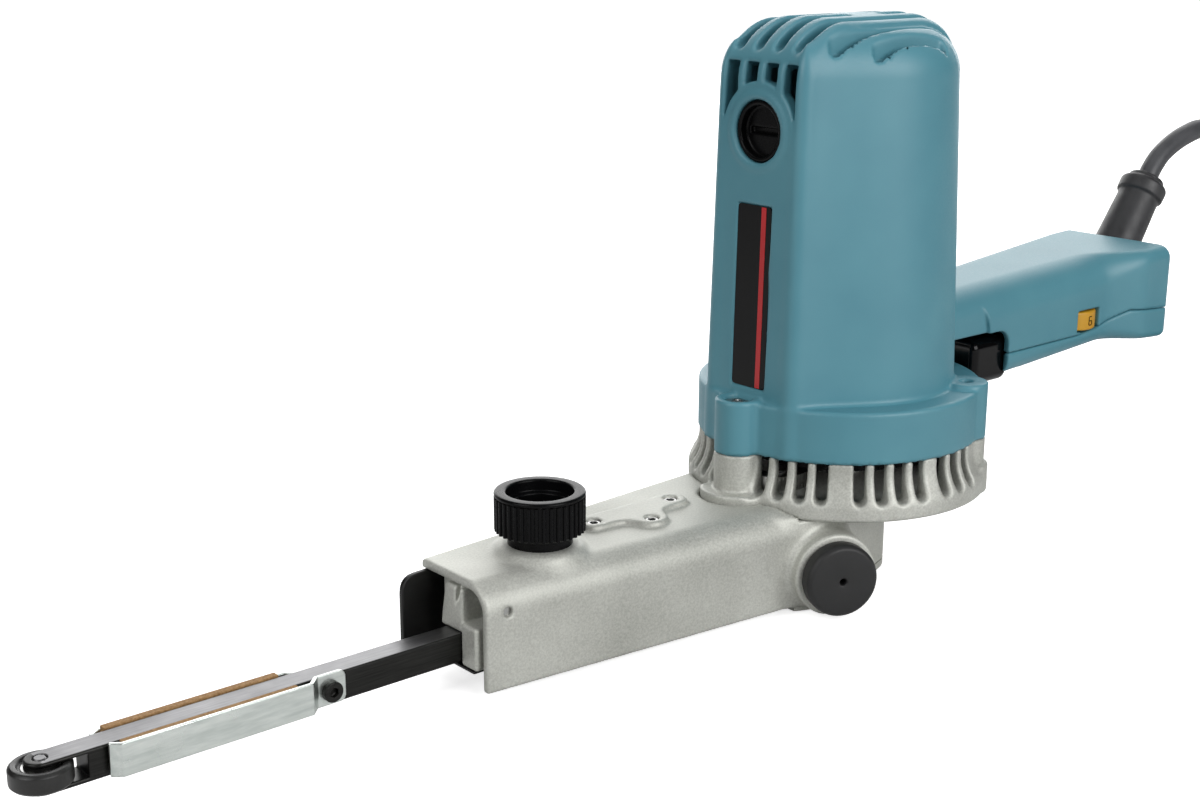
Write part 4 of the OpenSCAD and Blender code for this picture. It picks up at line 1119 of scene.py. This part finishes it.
def holder_form(x, y, z):
    """Tilting block: a tall middle over the bar, a cheek on each side, and a heel at the back."""
    near = brick(x, y, z, (-69.3, -6.8, 12.3), (12.7, 3.2, 5.7), 0.8)
    far = brick(x, y, z, (-67.8, 5, 13), (11.2, 1.6, 6), 0.6)
    tall = brick(x, y, z, (-69.3, 1.2, 20.9), (12.2, 4.6, 6), 0.8)
    tall = round_cut(tall, y - 4.9 + (z - 21) * 0.2, 0.8)
    notch = np.maximum(np.abs(y + 1.6) - 0.9, np.maximum(x + 79.6, 21 - z + (x + 82) * 1.6))
    heel = brick(x, y, z, (-52, 0, 15), (4.5, 8, 8), 0.8)
    block = round_join(round_join(tall, near, 0.8), round_join(far, heel, 0.6), 0.6)
    slit = np.maximum(np.maximum(np.abs(y) - 3.6, z - 15.2), x + 56.5)
    return round_cut(np.maximum(block, -slit), -notch, 0.4)


HOLDER_BOX = (-83, -11, 6), (-46, 9, 27)
formed("arm_carrier", holder_form, *HOLDER_BOX, 0.4, SILVER, "holder", ["arm_holder"], "cast_silver")


def make_guard_and_slide():
    """Black belt guard on the far side, and the black slide plate under the holder."""
    loop = eased_loop([(-89.5, 3), (7, 3), (7, 27.5), (-89.5, 27.5)], 4.5)
    points, faces = prism(loop, 0, 1.5, "y")
    shift = points[:, 1] - 1.5
    along = points[:, 0] - CHANNEL_FRONT
    points[:, 0] = CHANNEL_FRONT + along * math.cos(FLARE) - shift * math.sin(FLARE)
    points[:, 1] = CHANNEL_HALF + along * math.sin(FLARE) + shift * math.cos(FLARE)
    guard = piece("belt_guard_plate", points, faces, [BLACK_SHEET], "body", ["belt_guard"], 30)
    bevelled(guard, 0.35, 3, 50)
    points, faces = prism([(-82, -9), (-47.5, -9), (-47.5, 8), (-82, 8)], 5.7, 6.55)
    strip = piece("slide_strip", points, faces, [BLACK_SHEET], "holder", ["slide_plate"])
    bevelled(strip, 0.3, 2)


make_guard_and_slide()


# Springs


def spring(name, body, node, joint, keep, turns, radii, wire, ends, height):
    """Coil spring along X, wound between its two ends."""
    front, back = ends
    sizes = {"Start Radius": radii[0], "End Radius": radii[1], "Wire Radius": wire}
    sizes["Length"] = back - front - 2 * wire
    values = {label: size * MM for label, size in sizes.items()}
    thing = grown(name, WOUND_WIRE, {"Turns": turns, "Material": TURNED_STEEL, **values})
    lay_down = Matrix.Rotation(math.pi / 2, 4, "Y")
    thing.data.transform(Matrix.Translation(Vector((front + wire, 0, height)) * MM) @ lay_down)
    tie(thing, body, [node])
    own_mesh(thing)


ARM_SPRING = {"turns": 6.0, "radii": (2.4, 2.4), "wire": 0.4, "ends": (-69.7, -56.7), "height": 11.0}
FINGER_SPRING = {"turns": 2.5, "radii": (2.1, 0.7), "wire": 0.25, "ends": (133.7, 139.1), "height": 62.5}
spring("arm_spring", "holder", "tension_spring", "arm_slide", 0.45, **ARM_SPRING)
spring("finger_spring", "body", "trigger_spring", "trigger_pull", 0.1, **FINGER_SPRING)


# Speed dial

# Bars of each plain digit, then each bar's place in the digit and whether it lies flat
DIGIT_BARS = {
    "1": "bc", "2": "abged", "3": "abgcd", "4": "fgbc", "5": "afgcd", "6": "afgedc",
}
BAR_PLACES = {
    "a": (0, 1.4, 1), "g": (0, 0, 1), "d": (0, -1.4, 1),
    "f": (-0.7, 0.7, 0), "b": (0.7, 0.7, 0), "e": (-0.7, -0.7, 0), "c": (0.7, -0.7, 0),
}


def make_dial():
    """Yellow wheel with plain digits 1 to 6 round its rim."""
    place = np.array((DIAL_X, DIAL_Y, 0))
    profile = [(0, 60), (7.6, 60), (8.1, 60.4), (8.1, 65.8), (7.6, 66.2), (0, 66.2)]
    points, faces = lathe(eased(profile, 0.3), 72)
    piece("speed_wheel", points + place, faces, [YELLOW], "dial", ["speed_dial"], 40)
    corners, sides = [], []
    for i, digit in enumerate("612345"):
        for bar in DIGIT_BARS[digit]:
            u, v, flat = BAR_PLACES[bar]
            wide, tall = (0.62, 0.16) if flat else (0.16, 0.62)
            outline = [(u + a * wide, v + b * tall) for a, b in ((-1, -1), (1, -1), (1, 1), (-1, 1))]
            block, quads = prism(outline, 8.0, 8.16, "y")
            turn = np.radians(-60 * i)
            c, s = math.cos(turn), math.sin(turn)
            a, b = block[:, 0], -block[:, 1]
            sides += [[k + len(corners) * 8 for k in q] for q in quads]
            corners.append(np.stack([a * c - b * s, a * s + b * c, DIAL_Z + block[:, 2]], 1) + place)
    sides = [q[::-1] for q in sides]
    piece("speed_digits", np.concatenate(corners), sides, [BLACK_ABS], "dial", None, 30)


make_dial()
